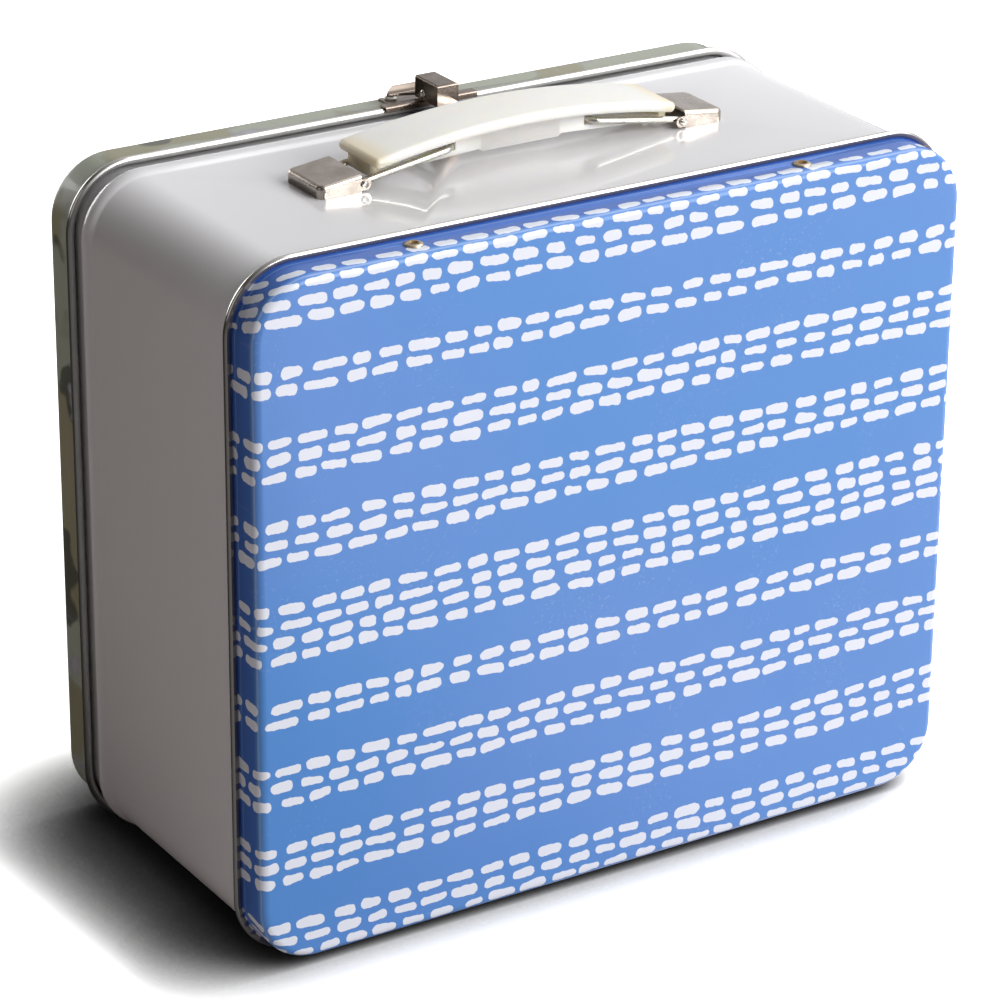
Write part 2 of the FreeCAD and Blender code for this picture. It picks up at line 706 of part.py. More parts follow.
def make_latch_lever():
    """The lever: a hub on the pin, an arm over the lid's rim and a flared thumb tab that curls up."""
    body = new_body("lever_form")
    place(body, y=LATCH_PIN_Y, z=LATCH_PIN_Z)
    side = new_sketch(body, "lever_side", "YZ_Plane")
    low = "-lever_hub / 2"
    outline(side, [
        ("0", low),
        ("latch_pin_to_curl + lever_arm", low, "-lever_tab_rise * 0.35"),
        ("lever_tab_end", "%s + lever_tab_rise" % low),
        ("lever_tab_end - lever_sheet * 0.7", "%s + lever_tab_rise + lever_sheet * 0.7" % low,
         "lever_tab_rise * 0.35"),
        ("latch_pin_to_curl + lever_arm - lever_sheet * 0.3", "%s + lever_sheet" % low),
        ("0", "%s + lever_sheet" % low),
    ])
    pad(body, side, "lever_tab_width", both=True)
    plan = new_body("lever_plan")
    place(plan, y=LATCH_PIN_Y, z=LATCH_PIN_Z)
    top = new_sketch(plan, "lever_top", "XY_Plane", offset="-lever_hub")
    arm = "(housing_width / 2 - housing_sheet - lever_side_play)"
    neck = "(latch_pin_to_curl + lever_arm - 0.2)"
    outline(top, [
        ("-%s" % arm, "-lever_hub"), (arm, "-lever_hub"), (arm, neck, "lever_tab_hollow"),
        ("lever_tab_width / 2", "lever_tab_end - lever_tab_tip", "-lever_tab_bow"),
        ("lever_tab_rear / 2", "lever_tab_end + 0.1"),
        ("-lever_tab_rear / 2", "lever_tab_end + 0.1", "-lever_tab_bow"),
        ("-lever_tab_width / 2", "lever_tab_end - lever_tab_tip", "lever_tab_hollow"),
        ("-%s" % arm, neck),
    ])
    pad(plan, top, "4 * lever_hub")
    leaf = doc.addObject("Part::MultiCommon", "lever_leaf")
    leaf.Shapes = [body, plan]
    hub = new_body("lever_hub_form")
    place(hub, y=LATCH_PIN_Y, z=LATCH_PIN_Z)
    ring = new_sketch(hub, "lever_hub_ring", "YZ_Plane")
    circles(ring, [("0", "0")], "lever_hub")
    pad(hub, ring, "2 * %s" % arm, both=True)
    joined = doc.addObject("Part::MultiFuse", "lever_joined")
    joined.Shapes = [leaf, hub]
    bore = doc.addObject("Part::Cylinder", "lever_bore")
    bind(bore, "Radius", "latch_pin_size / 2 + latch_play")
    bind(bore, "Height", "2 * housing_width")
    bore.Placement = FreeCAD.Placement(FreeCAD.Vector(), FreeCAD.Rotation(FreeCAD.Vector(0, 1, 0), 90))
    bind(bore, "Placement.Base.x", "-housing_width")
    bind(bore, "Placement.Base.y", LATCH_PIN_Y)
    bind(bore, "Placement.Base.z", LATCH_PIN_Z)
    lever = doc.addObject("Part::Cut", "latch_lever")
    lever.Base = joined
    lever.Tool = bore
    lever.Label = "latch_lever"
    doc.recompute()
    return lever


def make_strike():
    """The lid's half of the latch: a saddle over the rim's curl with a foot riveted to the flange."""
    body = new_body("latch_strike")
    place(body, y=LID_CURL_Y, z="%s + tinplate" % BAND_TOP)
    side = new_sketch(body, "strike_side", "YZ_Plane")
    out = "(curl_radius + strike_play)"
    top = "(%s + strike_play)" % CURL_PROUD
    outline(side, [
        ("-%s" % out, "curl_radius - tinplate / 2"),
        ("-%s" % out, top),
        (out, top),
        (out, "0"),
        ("%s + strike_sheet" % out, "0"),
        ("%s + strike_sheet" % out, "%s + strike_sheet" % top),
        ("-%s - strike_sheet" % out, "%s + strike_sheet" % top),
        ("-%s - strike_sheet" % out, "curl_radius - tinplate / 2"),
    ])
    saddle = pad(body, side, "strike_width", both=True)
    crown = number("%s + strike_sheet" % top)
    fillet(body, saddle, "strike_sheet * 0.9",
           lambda e: near(e.BoundBox.ZMin, crown) and e.BoundBox.YLength < 1e-4)
    foot = new_sketch(body, "strike_foot_plan", "XY_Plane")
    part_outline(foot, "-strike_foot_width / 2", "strike_foot_width / 2", out, "strike_foot")
    pad(body, foot, "strike_sheet")
    holes = new_sketch(body, "strike_holes", "XY_Plane")
    spots = [("strike_rivet_spread / 2", STRIKE_RIVET), ("-strike_rivet_spread / 2", STRIKE_RIVET)]
    circles(holes, spots, "rivet_shank + 2 * rivet_play")
    pocket(body, holes, "4 * strike_sheet", both=True)
    return body


HINGE_Z = "curl_radius"
HINGE_BORE = "(hinge_wire / 2 + hinge_play)"
HINGE_KNUCKLE = "(hinge_wire / 2 + hinge_play + hinge_strap_sheet)"


def make_hinge_strap(label, side):
    """A strap riveted under the band, stepped over the bead and rolled round the hinge wire."""
    body = new_body(label)
    place(body, x="%shinge_spread / 2" % ("" if side > 0 else "-"))
    profile = new_sketch(body, label + "_profile", "YZ_Plane")
    bead_foot = "(%s - bead_width / 2)" % BEAD_Y
    bead_low = "(%s - bead_height)" % BAND_BOTTOM
    outline(profile, [
        (STRAP_FRONT, BAND_BOTTOM),
        (STRAP_FRONT, "%s - hinge_strap_sheet" % BAND_BOTTOM),
        ("%s - strap_slope_start" % bead_foot, "%s - hinge_strap_sheet" % BAND_BOTTOM),
        ("%s + strap_slope_end" % bead_foot, "%s - hinge_strap_sheet" % bead_low),
        (LID_CURL_Y, "%s - %s" % (HINGE_Z, HINGE_KNUCKLE)),
        (LID_CURL_Y, "%s - %s" % (HINGE_Z, HINGE_BORE)),
        ("%s + strap_slope_end" % bead_foot, bead_low),
        ("%s - strap_slope_start" % bead_foot, BAND_BOTTOM),
    ])
    pad(body, profile, "hinge_strap_width", both=True)
    ring = new_sketch(body, label + "_knuckle", "YZ_Plane")
    circles(ring, [(LID_CURL_Y, HINGE_Z)], "2 * %s" % HINGE_KNUCKLE)
    pad(body, ring, "hinge_strap_width", both=True)
    bore = new_sketch(body, label + "_bore", "YZ_Plane")
    circles(bore, [(LID_CURL_Y, HINGE_Z)], "2 * %s" % HINGE_BORE)
    pocket(body, bore, "hinge_strap_width + 2", both=True)
    holes = new_sketch(body, label + "_rivet_holes", "XY_Plane")
    spots = [("hinge_rivet_spread / 2", HINGE_RIVET_Y), ("-hinge_rivet_spread / 2", HINGE_RIVET_Y)]
    circles(holes, spots, "rivet_shank + 2 * rivet_play")
    pocket(body, holes, "6 * curl_radius", both=True)
    return body


def make_hinge_wire(label, side):
    """The wire in the lid's curl that one hinge strap turns on."""
    body = new_body(label)
    place(body, x="%shinge_spread / 2" % ("" if side > 0 else "-"), y=LID_CURL_Y, z=HINGE_Z)
    ring = new_sketch(body, label + "_ring", "YZ_Plane")
    circles(ring, [("0", "0")], "hinge_wire")
    pad(body, ring, "hinge_strap_width + 2 * hinge_wire_overhang", both=True)
    return body


def mirrored(x_words, y_words, z_words, way):
    """Two rivet spots, left and right of the middle."""
    x = number(x_words)
    return [(sign * x, number(y_words), number(z_words), way) for sign in (1, -1)]


parts = [make_band(), make_front_panel(), make_lid(), make_grip()]
for side, word in ((-1, "left"), (1, "right")):
    parts.append(make_bracket("handle_bracket_" + word, side))
    parts.append(make_link("handle_link_" + word, side))
    parts.append(make_hinge_strap("hinge_strap_" + word, side))
    parts.append(make_hinge_wire("hinge_wire_" + word, side))
parts += [make_latch_housing(), make_latch_pin(), make_latch_lever(), make_strike()]

panel_top = "(case_height + %s)" % CURL_PROUD
panel_spots = mirrored("rivet_spread / 2", RIVET_Y, panel_top, 1)
panel_spots += mirrored("rivet_spread / 2", RIVET_Y, CURL_PROUD, -1)
parts.append(make_rivets("panel_rivets", panel_spots, 2 * val("tinplate"), val("panel_rivet_head")))
latch_spots = mirrored("latch_rivet_spread / 2", LATCH_RIVET_Y, "%s + housing_sheet" % BAND_TOP, 1)
plain_head = val("rivet_head")
parts.append(make_rivets("latch_rivets", latch_spots, val("housing_sheet") + val("tinplate"), plain_head))
strike_y = "%s + %s" % (LID_CURL_Y, STRIKE_RIVET)
strike_spots = mirrored("strike_rivet_spread / 2", strike_y, "%s + strike_sheet" % panel_top, 1)
parts.append(make_rivets("strike_rivets", strike_spots, val("strike_sheet") + val("tinplate"), plain_head))
hinge_spots = [(number(x), number(y), number("%s - hinge_strap_sheet" % BAND_BOTTOM), -1)
               for x, y in HINGE_RIVET_SPOTS]
parts.append(make_rivets("hinge_rivets", hinge_spots, val("hinge_strap_sheet") + val("tinplate"), plain_head))

doc.recompute()
for thing in doc.Objects:
    if "Invalid" in thing.State or "Error" in thing.State:
        raise ValueError("%s did not build: %s" % (thing.Label, thing.State))
for thing in parts:
    if thing.Shape.isNull() or not thing.Shape.isValid():
        raise ValueError("%s has no valid shape" % thing.Label)

os.makedirs("parts", exist_ok=True)
for thing in parts:
    thing.Shape.exportStep(os.path.join("parts", thing.Label + ".step"))
    box = thing.Shape.BoundBox
    print("%-22s %d solids  %.1f x %.1f x %.1f  %.1f mm3" % (
        thing.Label, len(thing.Shape.Solids), box.XLength, box.YLength, box.ZLength, thing.Shape.Volume))
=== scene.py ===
# %% [markdown]
# A tinplate lunch box, dressed for a studio picture.
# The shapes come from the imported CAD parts, which already have their true sizes and joints.
# This lesson gives them smooth shading, printed and plated finishes, riveted fastenings, light and a camera.

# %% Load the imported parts
import json
import math
import bmesh
import bpy
from mathutils import Matrix, Vector


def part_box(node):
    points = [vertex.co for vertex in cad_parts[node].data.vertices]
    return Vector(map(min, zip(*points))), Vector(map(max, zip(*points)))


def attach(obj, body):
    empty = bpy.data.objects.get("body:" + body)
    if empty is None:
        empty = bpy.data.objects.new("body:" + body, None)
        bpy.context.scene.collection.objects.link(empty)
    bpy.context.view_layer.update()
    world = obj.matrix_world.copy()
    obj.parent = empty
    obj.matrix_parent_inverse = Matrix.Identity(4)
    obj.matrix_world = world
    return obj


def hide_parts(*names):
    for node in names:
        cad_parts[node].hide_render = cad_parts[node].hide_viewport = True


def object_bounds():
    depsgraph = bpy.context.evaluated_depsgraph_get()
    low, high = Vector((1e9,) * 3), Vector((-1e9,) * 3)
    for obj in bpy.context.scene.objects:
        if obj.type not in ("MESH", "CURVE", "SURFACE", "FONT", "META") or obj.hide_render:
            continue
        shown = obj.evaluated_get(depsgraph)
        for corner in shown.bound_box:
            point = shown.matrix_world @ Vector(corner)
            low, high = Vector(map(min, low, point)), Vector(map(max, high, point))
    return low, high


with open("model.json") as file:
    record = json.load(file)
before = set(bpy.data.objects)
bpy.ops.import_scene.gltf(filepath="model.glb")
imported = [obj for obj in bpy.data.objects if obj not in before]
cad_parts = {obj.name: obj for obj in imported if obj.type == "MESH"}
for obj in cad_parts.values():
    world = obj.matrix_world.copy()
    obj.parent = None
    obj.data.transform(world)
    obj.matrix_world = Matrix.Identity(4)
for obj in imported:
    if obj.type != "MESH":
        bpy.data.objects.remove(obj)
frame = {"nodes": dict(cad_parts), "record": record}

MM = 0.001
cad_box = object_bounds()
scene = bpy.context.scene
scene.view_settings.view_transform = "Standard"
cad_size = [round(side / MM, 1) for side in cad_box[1] - cad_box[0]]
print("parts:", len(frame["nodes"]), "box in mm:", cad_size)

# %% [markdown]
# What can be measured is read from the parts, so a change in the CAD model carries over to the finishes.
# The front pan gives the outline of the box. Three sizes are written down instead: the width of the curled
# rims, how far they stand out from the flange, and the radius of the case's corners.

# %% Measure the case
panel_low, panel_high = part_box("front_panel")
lid_low, lid_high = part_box("lid")
middle_height = (panel_low.z + panel_high.z) / 2
rim_width = 2.0 * MM
rim_stand = 1.825 * MM
half_width = (panel_high.x - panel_low.x) / 2 - rim_stand
half_height = (panel_high.z - panel_low.z) / 2 - rim_stand
corner_radius = 16 * MM
print("half outline in mm:", round(half_width / MM, 1), round(half_height / MM, 1))

# %% [markdown]
# The picture was taken from the left of the front, looking down by about a quarter of a right angle.
# A long lens from a metre away keeps the edges nearly parallel.
# The camera is placed by its angles, its distance and the point that it aims at, and not by hand.

# %% Camera
view_azimuth = math.radians(-32.2)
view_elevation = math.radians(23.7)
view_roll = math.radians(-0.48)
view_distance = 1.078
aim_right = -1.5 * MM
aim_down = 5.4 * MM
lens_length = 151.7

flat = math.cos(view_elevation)
back = Vector((math.sin(view_azimuth) * flat, -math.cos(view_azimuth) * flat, math.sin(view_elevation)))
right = Vector((math.cos(view_azimuth), math.sin(view_azimuth), 0))
up = back.cross(right)
aim = Vector((0, 0, middle_height)) + right * aim_right - up * aim_down
side = right * math.cos(view_roll) - up * math.sin(view_roll)
rise = back.cross(side)

camera = bpy.data.objects.new("camera", bpy.data.cameras.new("camera"))
scene.collection.objects.link(camera)
turned = Matrix((side, rise, back)).transposed().to_4x4()
camera.matrix_world = Matrix.Translation(aim + back * view_distance) @ turned
camera.data.lens = lens_length
camera.data.sensor_width = 36
camera.data.clip_end = 50
scene.camera = camera
print("camera at", [round(c, 3) for c in camera.location])

# %% [markdown]
# A shader is a graph of small nodes. A few helpers keep the graphs short to write. The first adds a node
# and fills or links its inputs. The others use it for arithmetic, blends of colours, soft steps and noise.
# A mix node's sockets repeat their names for numbers, vectors and colours, so its colours go by number.

# %% Node helpers
MIX_AMOUNT, MIX_FIRST, MIX_SECOND, MIX_RESULT = 0, 6, 7, 2


def add(tree, kind, values=None, **settings):
    """Adds a node. Each value is a number, a colour or another node's output."""
    made = tree.nodes.new(kind)
    for name, setting in settings.items():
        setattr(made, name, setting)
    for name, value in (values or {}).items():
        if isinstance(value, bpy.types.NodeSocket):
            tree.links.new(value, made.inputs[name])
        else:
            made.inputs[name].default_value = value
    return made


def calc(tree, operation, *values):
    """One step of arithmetic on numbers or outputs."""
    return add(tree, "ShaderNodeMath", dict(enumerate(values)), operation=operation).outputs[0]


def blend(tree, amount, first, second):
    """A colour between two colours."""
    values = {MIX_AMOUNT: amount, MIX_FIRST: first, MIX_SECOND: second}
    return add(tree, "ShaderNodeMix", values, data_type="RGBA").outputs[MIX_RESULT]


def cover(tree, colour, tint, mask, share):
    """A colour with a tint laid over it where a mask is high, up to a share."""
    return blend(tree, calc(tree, "MULTIPLY", mask, share), colour, tint)


def fade(tree, value, start, end):
    """Rises smoothly from 0 to 1 while a value goes from start to end."""
    values = {"Value": value, "From Min": start, "From Max": end}
    return add(tree, "ShaderNodeMapRange", values, interpolation_type="SMOOTHSTEP").outputs[0]


def noise(tree, place, scale, detail=2.0):
    """Soft random values between 0 and 1 over a place."""
    return add(tree, "ShaderNodeTexNoise", {"Vector": place, "Scale": scale, "Detail": detail}).outputs[0]


print("node helpers ready")

# %% Helpers for groups and finishes
def new_group(name, inputs, outputs):
    """An empty shader group with named inputs and outputs, and its two end nodes."""
    tree = bpy.data.node_groups.new(name, "ShaderNodeTree")
    for label, kind in inputs:
        tree.interface.new_socket(label, in_out="INPUT", socket_type=kind)
    for label, kind in outputs:
        tree.interface.new_socket(label, in_out="OUTPUT", socket_type=kind)
    return tree, tree.nodes.new("NodeGroupInput").outputs, tree.nodes.new("NodeGroupOutput").inputs


def use_group(tree, group, values):
    """Places a group in a tree with its own values, and gives its outputs."""
    return add(tree, "ShaderNodeGroup", values, node_tree=group).outputs


def new_finish(name, constants):
    """A material with one Principled shader whose plain numbers are set on its own sockets."""
    material = bpy.data.materials.new(name)
    material.use_nodes = True
    tree = material.node_tree
    shader = tree.nodes["Principled BSDF"]
    for socket, value in constants.items():
        shader.inputs[socket].default_value = value
    place = add(tree, "ShaderNodeTexCoord").outputs["Object"]
    return material, tree, shader, place


def roughen(tree, shader, start, *changes):
    """Sets how dull a finish is: a start, and how much each mask adds to it."""
    dull = start
    for mask, amount in changes:
        dull = calc(tree, "MULTIPLY_ADD", mask, amount, dull)
    tree.links.new(dull, shader.inputs["Roughness"])


def paint(red, green, blue):
    """A colour as a paint chart gives it, from 0 to 255, turned into the linear colour of a shader."""
    def linear(part):
        part = part / 255
        return part / 12.92 if part <= 0.04045 else ((part + 0.055) / 1.055) ** 2.4
    return (linear(red), linear(green), linear(blue), 1.0)


print("half-bright grey as a linear colour:", round(paint(128, 128, 128)[0], 3))

# %% [markdown]
# Real finishes are never perfectly even. Baked enamel and printed tin have a faint orange-peel ripple,
# handled metal has fine scratches and smudges, and pale paint collects a few specks.
# Each effect is one shader group, so every finish can use it with its own size and strength.

# %% Shared effect: orange peel
fine_ripple = 3.7
fine_share = 0.3
peel_group, given, taken = new_group(
    "orange_peel", [("Place", "NodeSocketVector"), ("Size", "NodeSocketFloat")],
    [("Height", "NodeSocketFloat")])
peel_scale = calc(peel_group, "DIVIDE", 1.0, given["Size"])
peel_coarse = noise(peel_group, given["Place"], peel_scale, 1.0)
fine_scale = calc(peel_group, "MULTIPLY", peel_scale, fine_ripple)
peel_fine = noise(peel_group, given["Place"], fine_scale, 1.0)
peel_height = calc(peel_group, "MULTIPLY_ADD", peel_fine, fine_share, peel_coarse)
peel_group.links.new(peel_height, taken["Height"])


def ripple(tree, shader, place, size, strength, depth):
    """Gives a finish the orange peel, with ripples of a size and a depth."""
    peel = use_group(tree, peel_group, {"Place": place, "Size": size})
    bump = add(tree, "ShaderNodeBump", {"Height": peel["Height"], "Strength": strength, "Distance": depth})
    tree.links.new(bump.outputs[0], shader.inputs["Normal"])


print("group:", peel_group.name)

# %% Shared effect: scratches and smudges from handling
scratch_ways = ((0.6, 40.0), (-1.1, 28.0))
turn_shares = (1.0, 0.7, 1.3)
scratch_levels = (0.66, 0.72)
patch_levels = (0.5, 0.7)
patch_fineness = 1.5
smudge_levels = (0.35, 0.75)
marks_group, given, taken = new_group(
    "handling_marks", [("Place", "NodeSocketVector"), ("Spacing", "NodeSocketFloat")],
    [("Scratches", "NodeSocketFloat"), ("Smudges", "NodeSocketFloat")])
marks_scale = calc(marks_group, "DIVIDE", 1.0, given["Spacing"])
patch_scale = calc(marks_group, "MULTIPLY", marks_scale, patch_fineness)
patches = fade(marks_group, noise(marks_group, given["Place"], patch_scale), *patch_levels)
scratches = 0.0
for turn, stretch in scratch_ways:
    slanted = add(marks_group, "ShaderNodeMapping", {
        "Vector": given["Place"], "Rotation": [turn * share for share in turn_shares],
        "Scale": (stretch, 1.0, stretch)}).outputs[0]
    lines = fade(marks_group, noise(marks_group, slanted, marks_scale, 1.0), *scratch_levels)
    lines = calc(marks_group, "MULTIPLY", lines, patches)
    scratches = calc(marks_group, "MAXIMUM", lines, scratches)
marks_group.links.new(scratches, taken["Scratches"])
cloudy = noise(marks_group, given["Place"], marks_scale, 4.0)
marks_group.links.new(fade(marks_group, cloudy, *smudge_levels), taken["Smudges"])
print("group:", marks_group.name)

# %% Shared effect: specks of dust
empty_share = 0.6
speck_group, given, taken = new_group(
    "dust_specks",
    [("Place", "NodeSocketVector"), ("Spacing", "NodeSocketFloat"), ("Radius", "NodeSocketFloat")],
    [("Specks", "NodeSocketFloat")])
cells = add(speck_group, "ShaderNodeTexVoronoi", {
    "Vector": given["Place"], "Scale": calc(speck_group, "DIVIDE", 1.0, given["Spacing"])})
speck_edge = calc(speck_group, "DIVIDE", given["Radius"], given["Spacing"])
dot = calc(speck_group, "LESS_THAN", cells.outputs["Distance"], speck_edge)
chance = add(speck_group, "ShaderNodeSeparateColor", {0: cells.outputs["Color"]}).outputs[0]
kept = calc(speck_group, "MULTIPLY", dot, calc(speck_group, "GREATER_THAN", chance, empty_share))
speck_group.links.new(kept, taken["Specks"])
print("group:", speck_group.name)

# %% [markdown]
# A printed pan is a flat printed sheet whose edges were drawn down in a press.
# So the print runs on round the edge, and its dashes bend over onto the flange.
# The group below unrolls a pan again: for a place on the pan it says where that spot lay on the flat sheet.
# On the face that is the place itself. On the flange the depth is added, outwards from the nearest side.
# It also says how far a spot stands out beyond the flange, which is how the curled rim is found.

# %% Shared effect: the flat sheet before pressing
least_length = 0.001 * MM
sheet_group, given, taken = new_group(
    "flat_sheet", [("Place", "NodeSocketVector"), ("Face", "NodeSocketFloat")],
    [("Across", "NodeSocketFloat"), ("Along", "NodeSocketFloat"), ("Depth", "NodeSocketFloat"),
     ("Stand", "NodeSocketFloat")])
parts = add(sheet_group, "ShaderNodeSeparateXYZ", {0: given["Place"]}).outputs
depth = calc(sheet_group, "ABSOLUTE", calc(sheet_group, "SUBTRACT", parts["Y"], given["Face"]))
height = calc(sheet_group, "SUBTRACT", parts["Z"], middle_height)
reach = []
for spot, half in ((parts["X"], half_width), (height, half_height)):
    beyond = calc(sheet_group, "SUBTRACT", calc(sheet_group, "ABSOLUTE", spot), half - corner_radius)
    beyond = calc(sheet_group, "MAXIMUM", beyond, 0.0)
    reach.append(calc(sheet_group, "MULTIPLY", beyond, calc(sheet_group, "SIGN", spot)))
squares = [calc(sheet_group, "MULTIPLY", part, part) for part in reach]
length = calc(sheet_group, "SQRT", calc(sheet_group, "ADD", *squares))
length = calc(sheet_group, "MAXIMUM", length, least_length)
for spot, part, name in ((parts["X"], reach[0], "Across"), (height, reach[1], "Along")):
    outward = calc(sheet_group, "MULTIPLY", calc(sheet_group, "DIVIDE", part, length), depth)
    sheet_group.links.new(calc(sheet_group, "ADD", spot, outward), taken[name])
sheet_group.links.new(depth, taken["Depth"])
sheet_group.links.new(calc(sheet_group, "SUBTRACT", length, corner_radius), taken["Stand"])
print("group:", sheet_group.name)

# %% [markdown]
# The front is printed with rows of short brushed dashes, in bands of two to four rows with blue between.
# They could be modelled or painted, but a mask made from the sheet's place stays sharp at any distance.
# Within a band the dashes stand roughly above each other. Every dash gets its own length, thickness,
# taper and tilt from a random value of its row and number, as strokes of a brush would have.

# %% Printed dashes
row_pitch = 4.25 * MM
dash_pitch = 8.4 * MM
rows_in_cycle = 20
blank_rows = (2, 3, 7, 8, 12, 13, 16, 17)
first_row_shift = -0.42 * MM
print_margin = 5.6 * MM
same_row = 0.1
dash_group, given, taken = new_group(
    "brushed_dashes", [("Across", "NodeSocketFloat"), ("Along", "NodeSocketFloat")],
    [("Ink", "NodeSocketFloat")])


def dash_step(operation, *values):
    """One step of arithmetic in the group of dashes."""
    return calc(dash_group, operation, *values)


def dash_random(first, second):
    """Three fixed random values for a pair of whole numbers."""
    pair = add(dash_group, "ShaderNodeCombineXYZ", {0: first, 1: second}).outputs[0]
    chance = add(dash_group, "ShaderNodeTexWhiteNoise", {"Vector": pair}, noise_dimensions="3D")
    return add(dash_group, "ShaderNodeSeparateColor", {0: chance.outputs["Color"]}).outputs


def spread(chance, middle, width):
    """A random value between 0 and 1 turned into one about a middle."""
    off = dash_step("SUBTRACT", chance, 0.5)
    return dash_step("ADD", dash_step("MULTIPLY", off, width), middle)


row_place = dash_step("DIVIDE", dash_step("ADD", given["Along"], first_row_shift), row_pitch)
row = dash_step("FLOOR", row_place)
from_row = dash_step("SUBTRACT", dash_step("SUBTRACT", row_place, row), 0.5)
from_row = dash_step("MULTIPLY", from_row, row_pitch)
in_cycle = dash_step("FLOORED_MODULO", row, float(rows_in_cycle))
printed = dash_step("LESS_THAN", dash_step("ABSOLUTE", given["Along"]), half_height + print_margin)
cycle = dash_step("FLOOR", dash_step("DIVIDE", row, float(rows_in_cycle)))
stack = dash_step("MULTIPLY", cycle, float(len(blank_rows) + 1))
for blank in blank_rows:
    printed = dash_step("SUBTRACT", printed, dash_step("COMPARE", in_cycle, float(blank), same_row))
    stack = dash_step("ADD", stack, dash_step("GREATER_THAN", in_cycle, float(blank)))
print("printed rows in one cycle:", rows_in_cycle - len(blank_rows), "every", row_pitch / MM, "mm")

# %% Columns of dashes
sway_reach = 11 * MM
sway_fineness = 38.0
band_apart, row_apart = 0.7, 0.004
row_shift_reach = 0.36
row_key, band_key = 7.0, 3.0
band_place = dash_step("MULTIPLY", stack, band_apart)
row_depth = dash_step("MULTIPLY", row, row_apart)
sway_place = add(dash_group, "ShaderNodeCombineXYZ", {0: given["Across"], 1: band_place, 2: row_depth})
sway = spread(noise(dash_group, sway_place.outputs[0], sway_fineness), 0.0, sway_reach)
row_shift = spread(dash_random(row, row_key)[0], 0.0, row_shift_reach)
column_place = dash_step("DIVIDE", dash_step("ADD", given["Across"], sway), dash_pitch)
column_place = dash_step("ADD", column_place, dash_random(stack, band_key)[0])
column_place = dash_step("ADD", column_place, row_shift)
column = dash_step("FLOOR", column_place)
from_column = dash_step("SUBTRACT", dash_step("SUBTRACT", column_place, column), 0.5)
from_column = dash_step("MULTIPLY", from_column, dash_pitch)
print("dashes every", dash_pitch / MM, "mm")

# %% [markdown]
# Each of a dash's sizes is a middle value and the whole width of the range about it.
# The dash is a rectangle with rounded corners, and a fine noise makes its edge ragged, as a dry brush does.

# %% Size of one dash
dash_chance = dash_random(column, row)
more_chance = dash_random(row, column)
half_length = spread(dash_chance[0], 3.3 * MM, 0.9 * MM)
half_thick = spread(dash_chance[1], 1.3 * MM, 0.5 * MM)
tilt = spread(dash_chance[2], 0.02, 0.16)
taper = spread(more_chance[0], 0.0, 0.14)
aside = spread(more_chance[1], 0.0, 0.6 * MM)
lift = spread(more_chance[2], 0.0, 0.4 * MM)
print("nodes so far:", len(dash_group.nodes))

# %% Shape of one dash
least_half_thick = 0.5 * MM
roundness = 0.94
ragged_fineness = 460.0
ragged_reach = 0.9 * MM
half_edge = 0.06 * MM
along_dash = dash_step("ADD", from_column, aside)
across_dash = dash_step("ADD", dash_step("ADD", from_row, lift), dash_step("MULTIPLY", from_column, tilt))
half_thick = dash_step("ADD", half_thick, dash_step("MULTIPLY", along_dash, taper))
half_thick = dash_step("MAXIMUM", half_thick, least_half_thick)
dash_round = dash_step("MULTIPLY", half_thick, roundness)
end_start = dash_step("SUBTRACT", half_length, dash_round)
beyond_end = dash_step("SUBTRACT", dash_step("ABSOLUTE", along_dash), end_start)
side_start = dash_step("SUBTRACT", half_thick, dash_round)
beyond_side = dash_step("SUBTRACT", dash_step("ABSOLUTE", across_dash), side_start)
beyond = [dash_step("MAXIMUM", part, 0.0) for part in (beyond_end, beyond_side)]
squares = [dash_step("MULTIPLY", part, part) for part in beyond]
outside = dash_step("SUBTRACT", dash_step("SQRT", dash_step("ADD", *squares)), dash_round)
brush_place = add(dash_group, "ShaderNodeCombineXYZ", {0: given["Across"], 1: given["Along"]}).outputs[0]
ragged = spread(noise(dash_group, brush_place, ragged_fineness), 0.0, ragged_reach)
ink = fade(dash_group, dash_step("ADD", outside, ragged), half_edge, -half_edge)
dash_group.links.new(dash_step("MULTIPLY", ink, printed), taken["Ink"])
print("group:", dash_group.name)

# %% [markdown]
# The curled rim of each pan is rubbed to bare metal on its crest, and the print ends below that.
# Both printed finishes share the steps below: bare metal on the crest, a clear varnish over the ink,
# a painted highlight along the bends of the sheet, and painted shade in the narrow seam beside the rim.
# The painted shade starts some way up the curl on the front pan, and at its foot on the lid.

# %% Printed tin
TIN = paint(206, 203, 198)
SEAM_SHADE = paint(74, 64, 56)
BEND_HIGHLIGHT = paint(226, 232, 244)
SCRATCHED = paint(214, 220, 232)
bend_width = 1.1 * MM
line_edges = (0.32 * MM, 0.1 * MM)
seam_edge = 0.1 * MM
seam_shade_share = 0.85
bare_start = 1.25 * MM
bare_edge = 0.08 * MM
varnish = 0.3


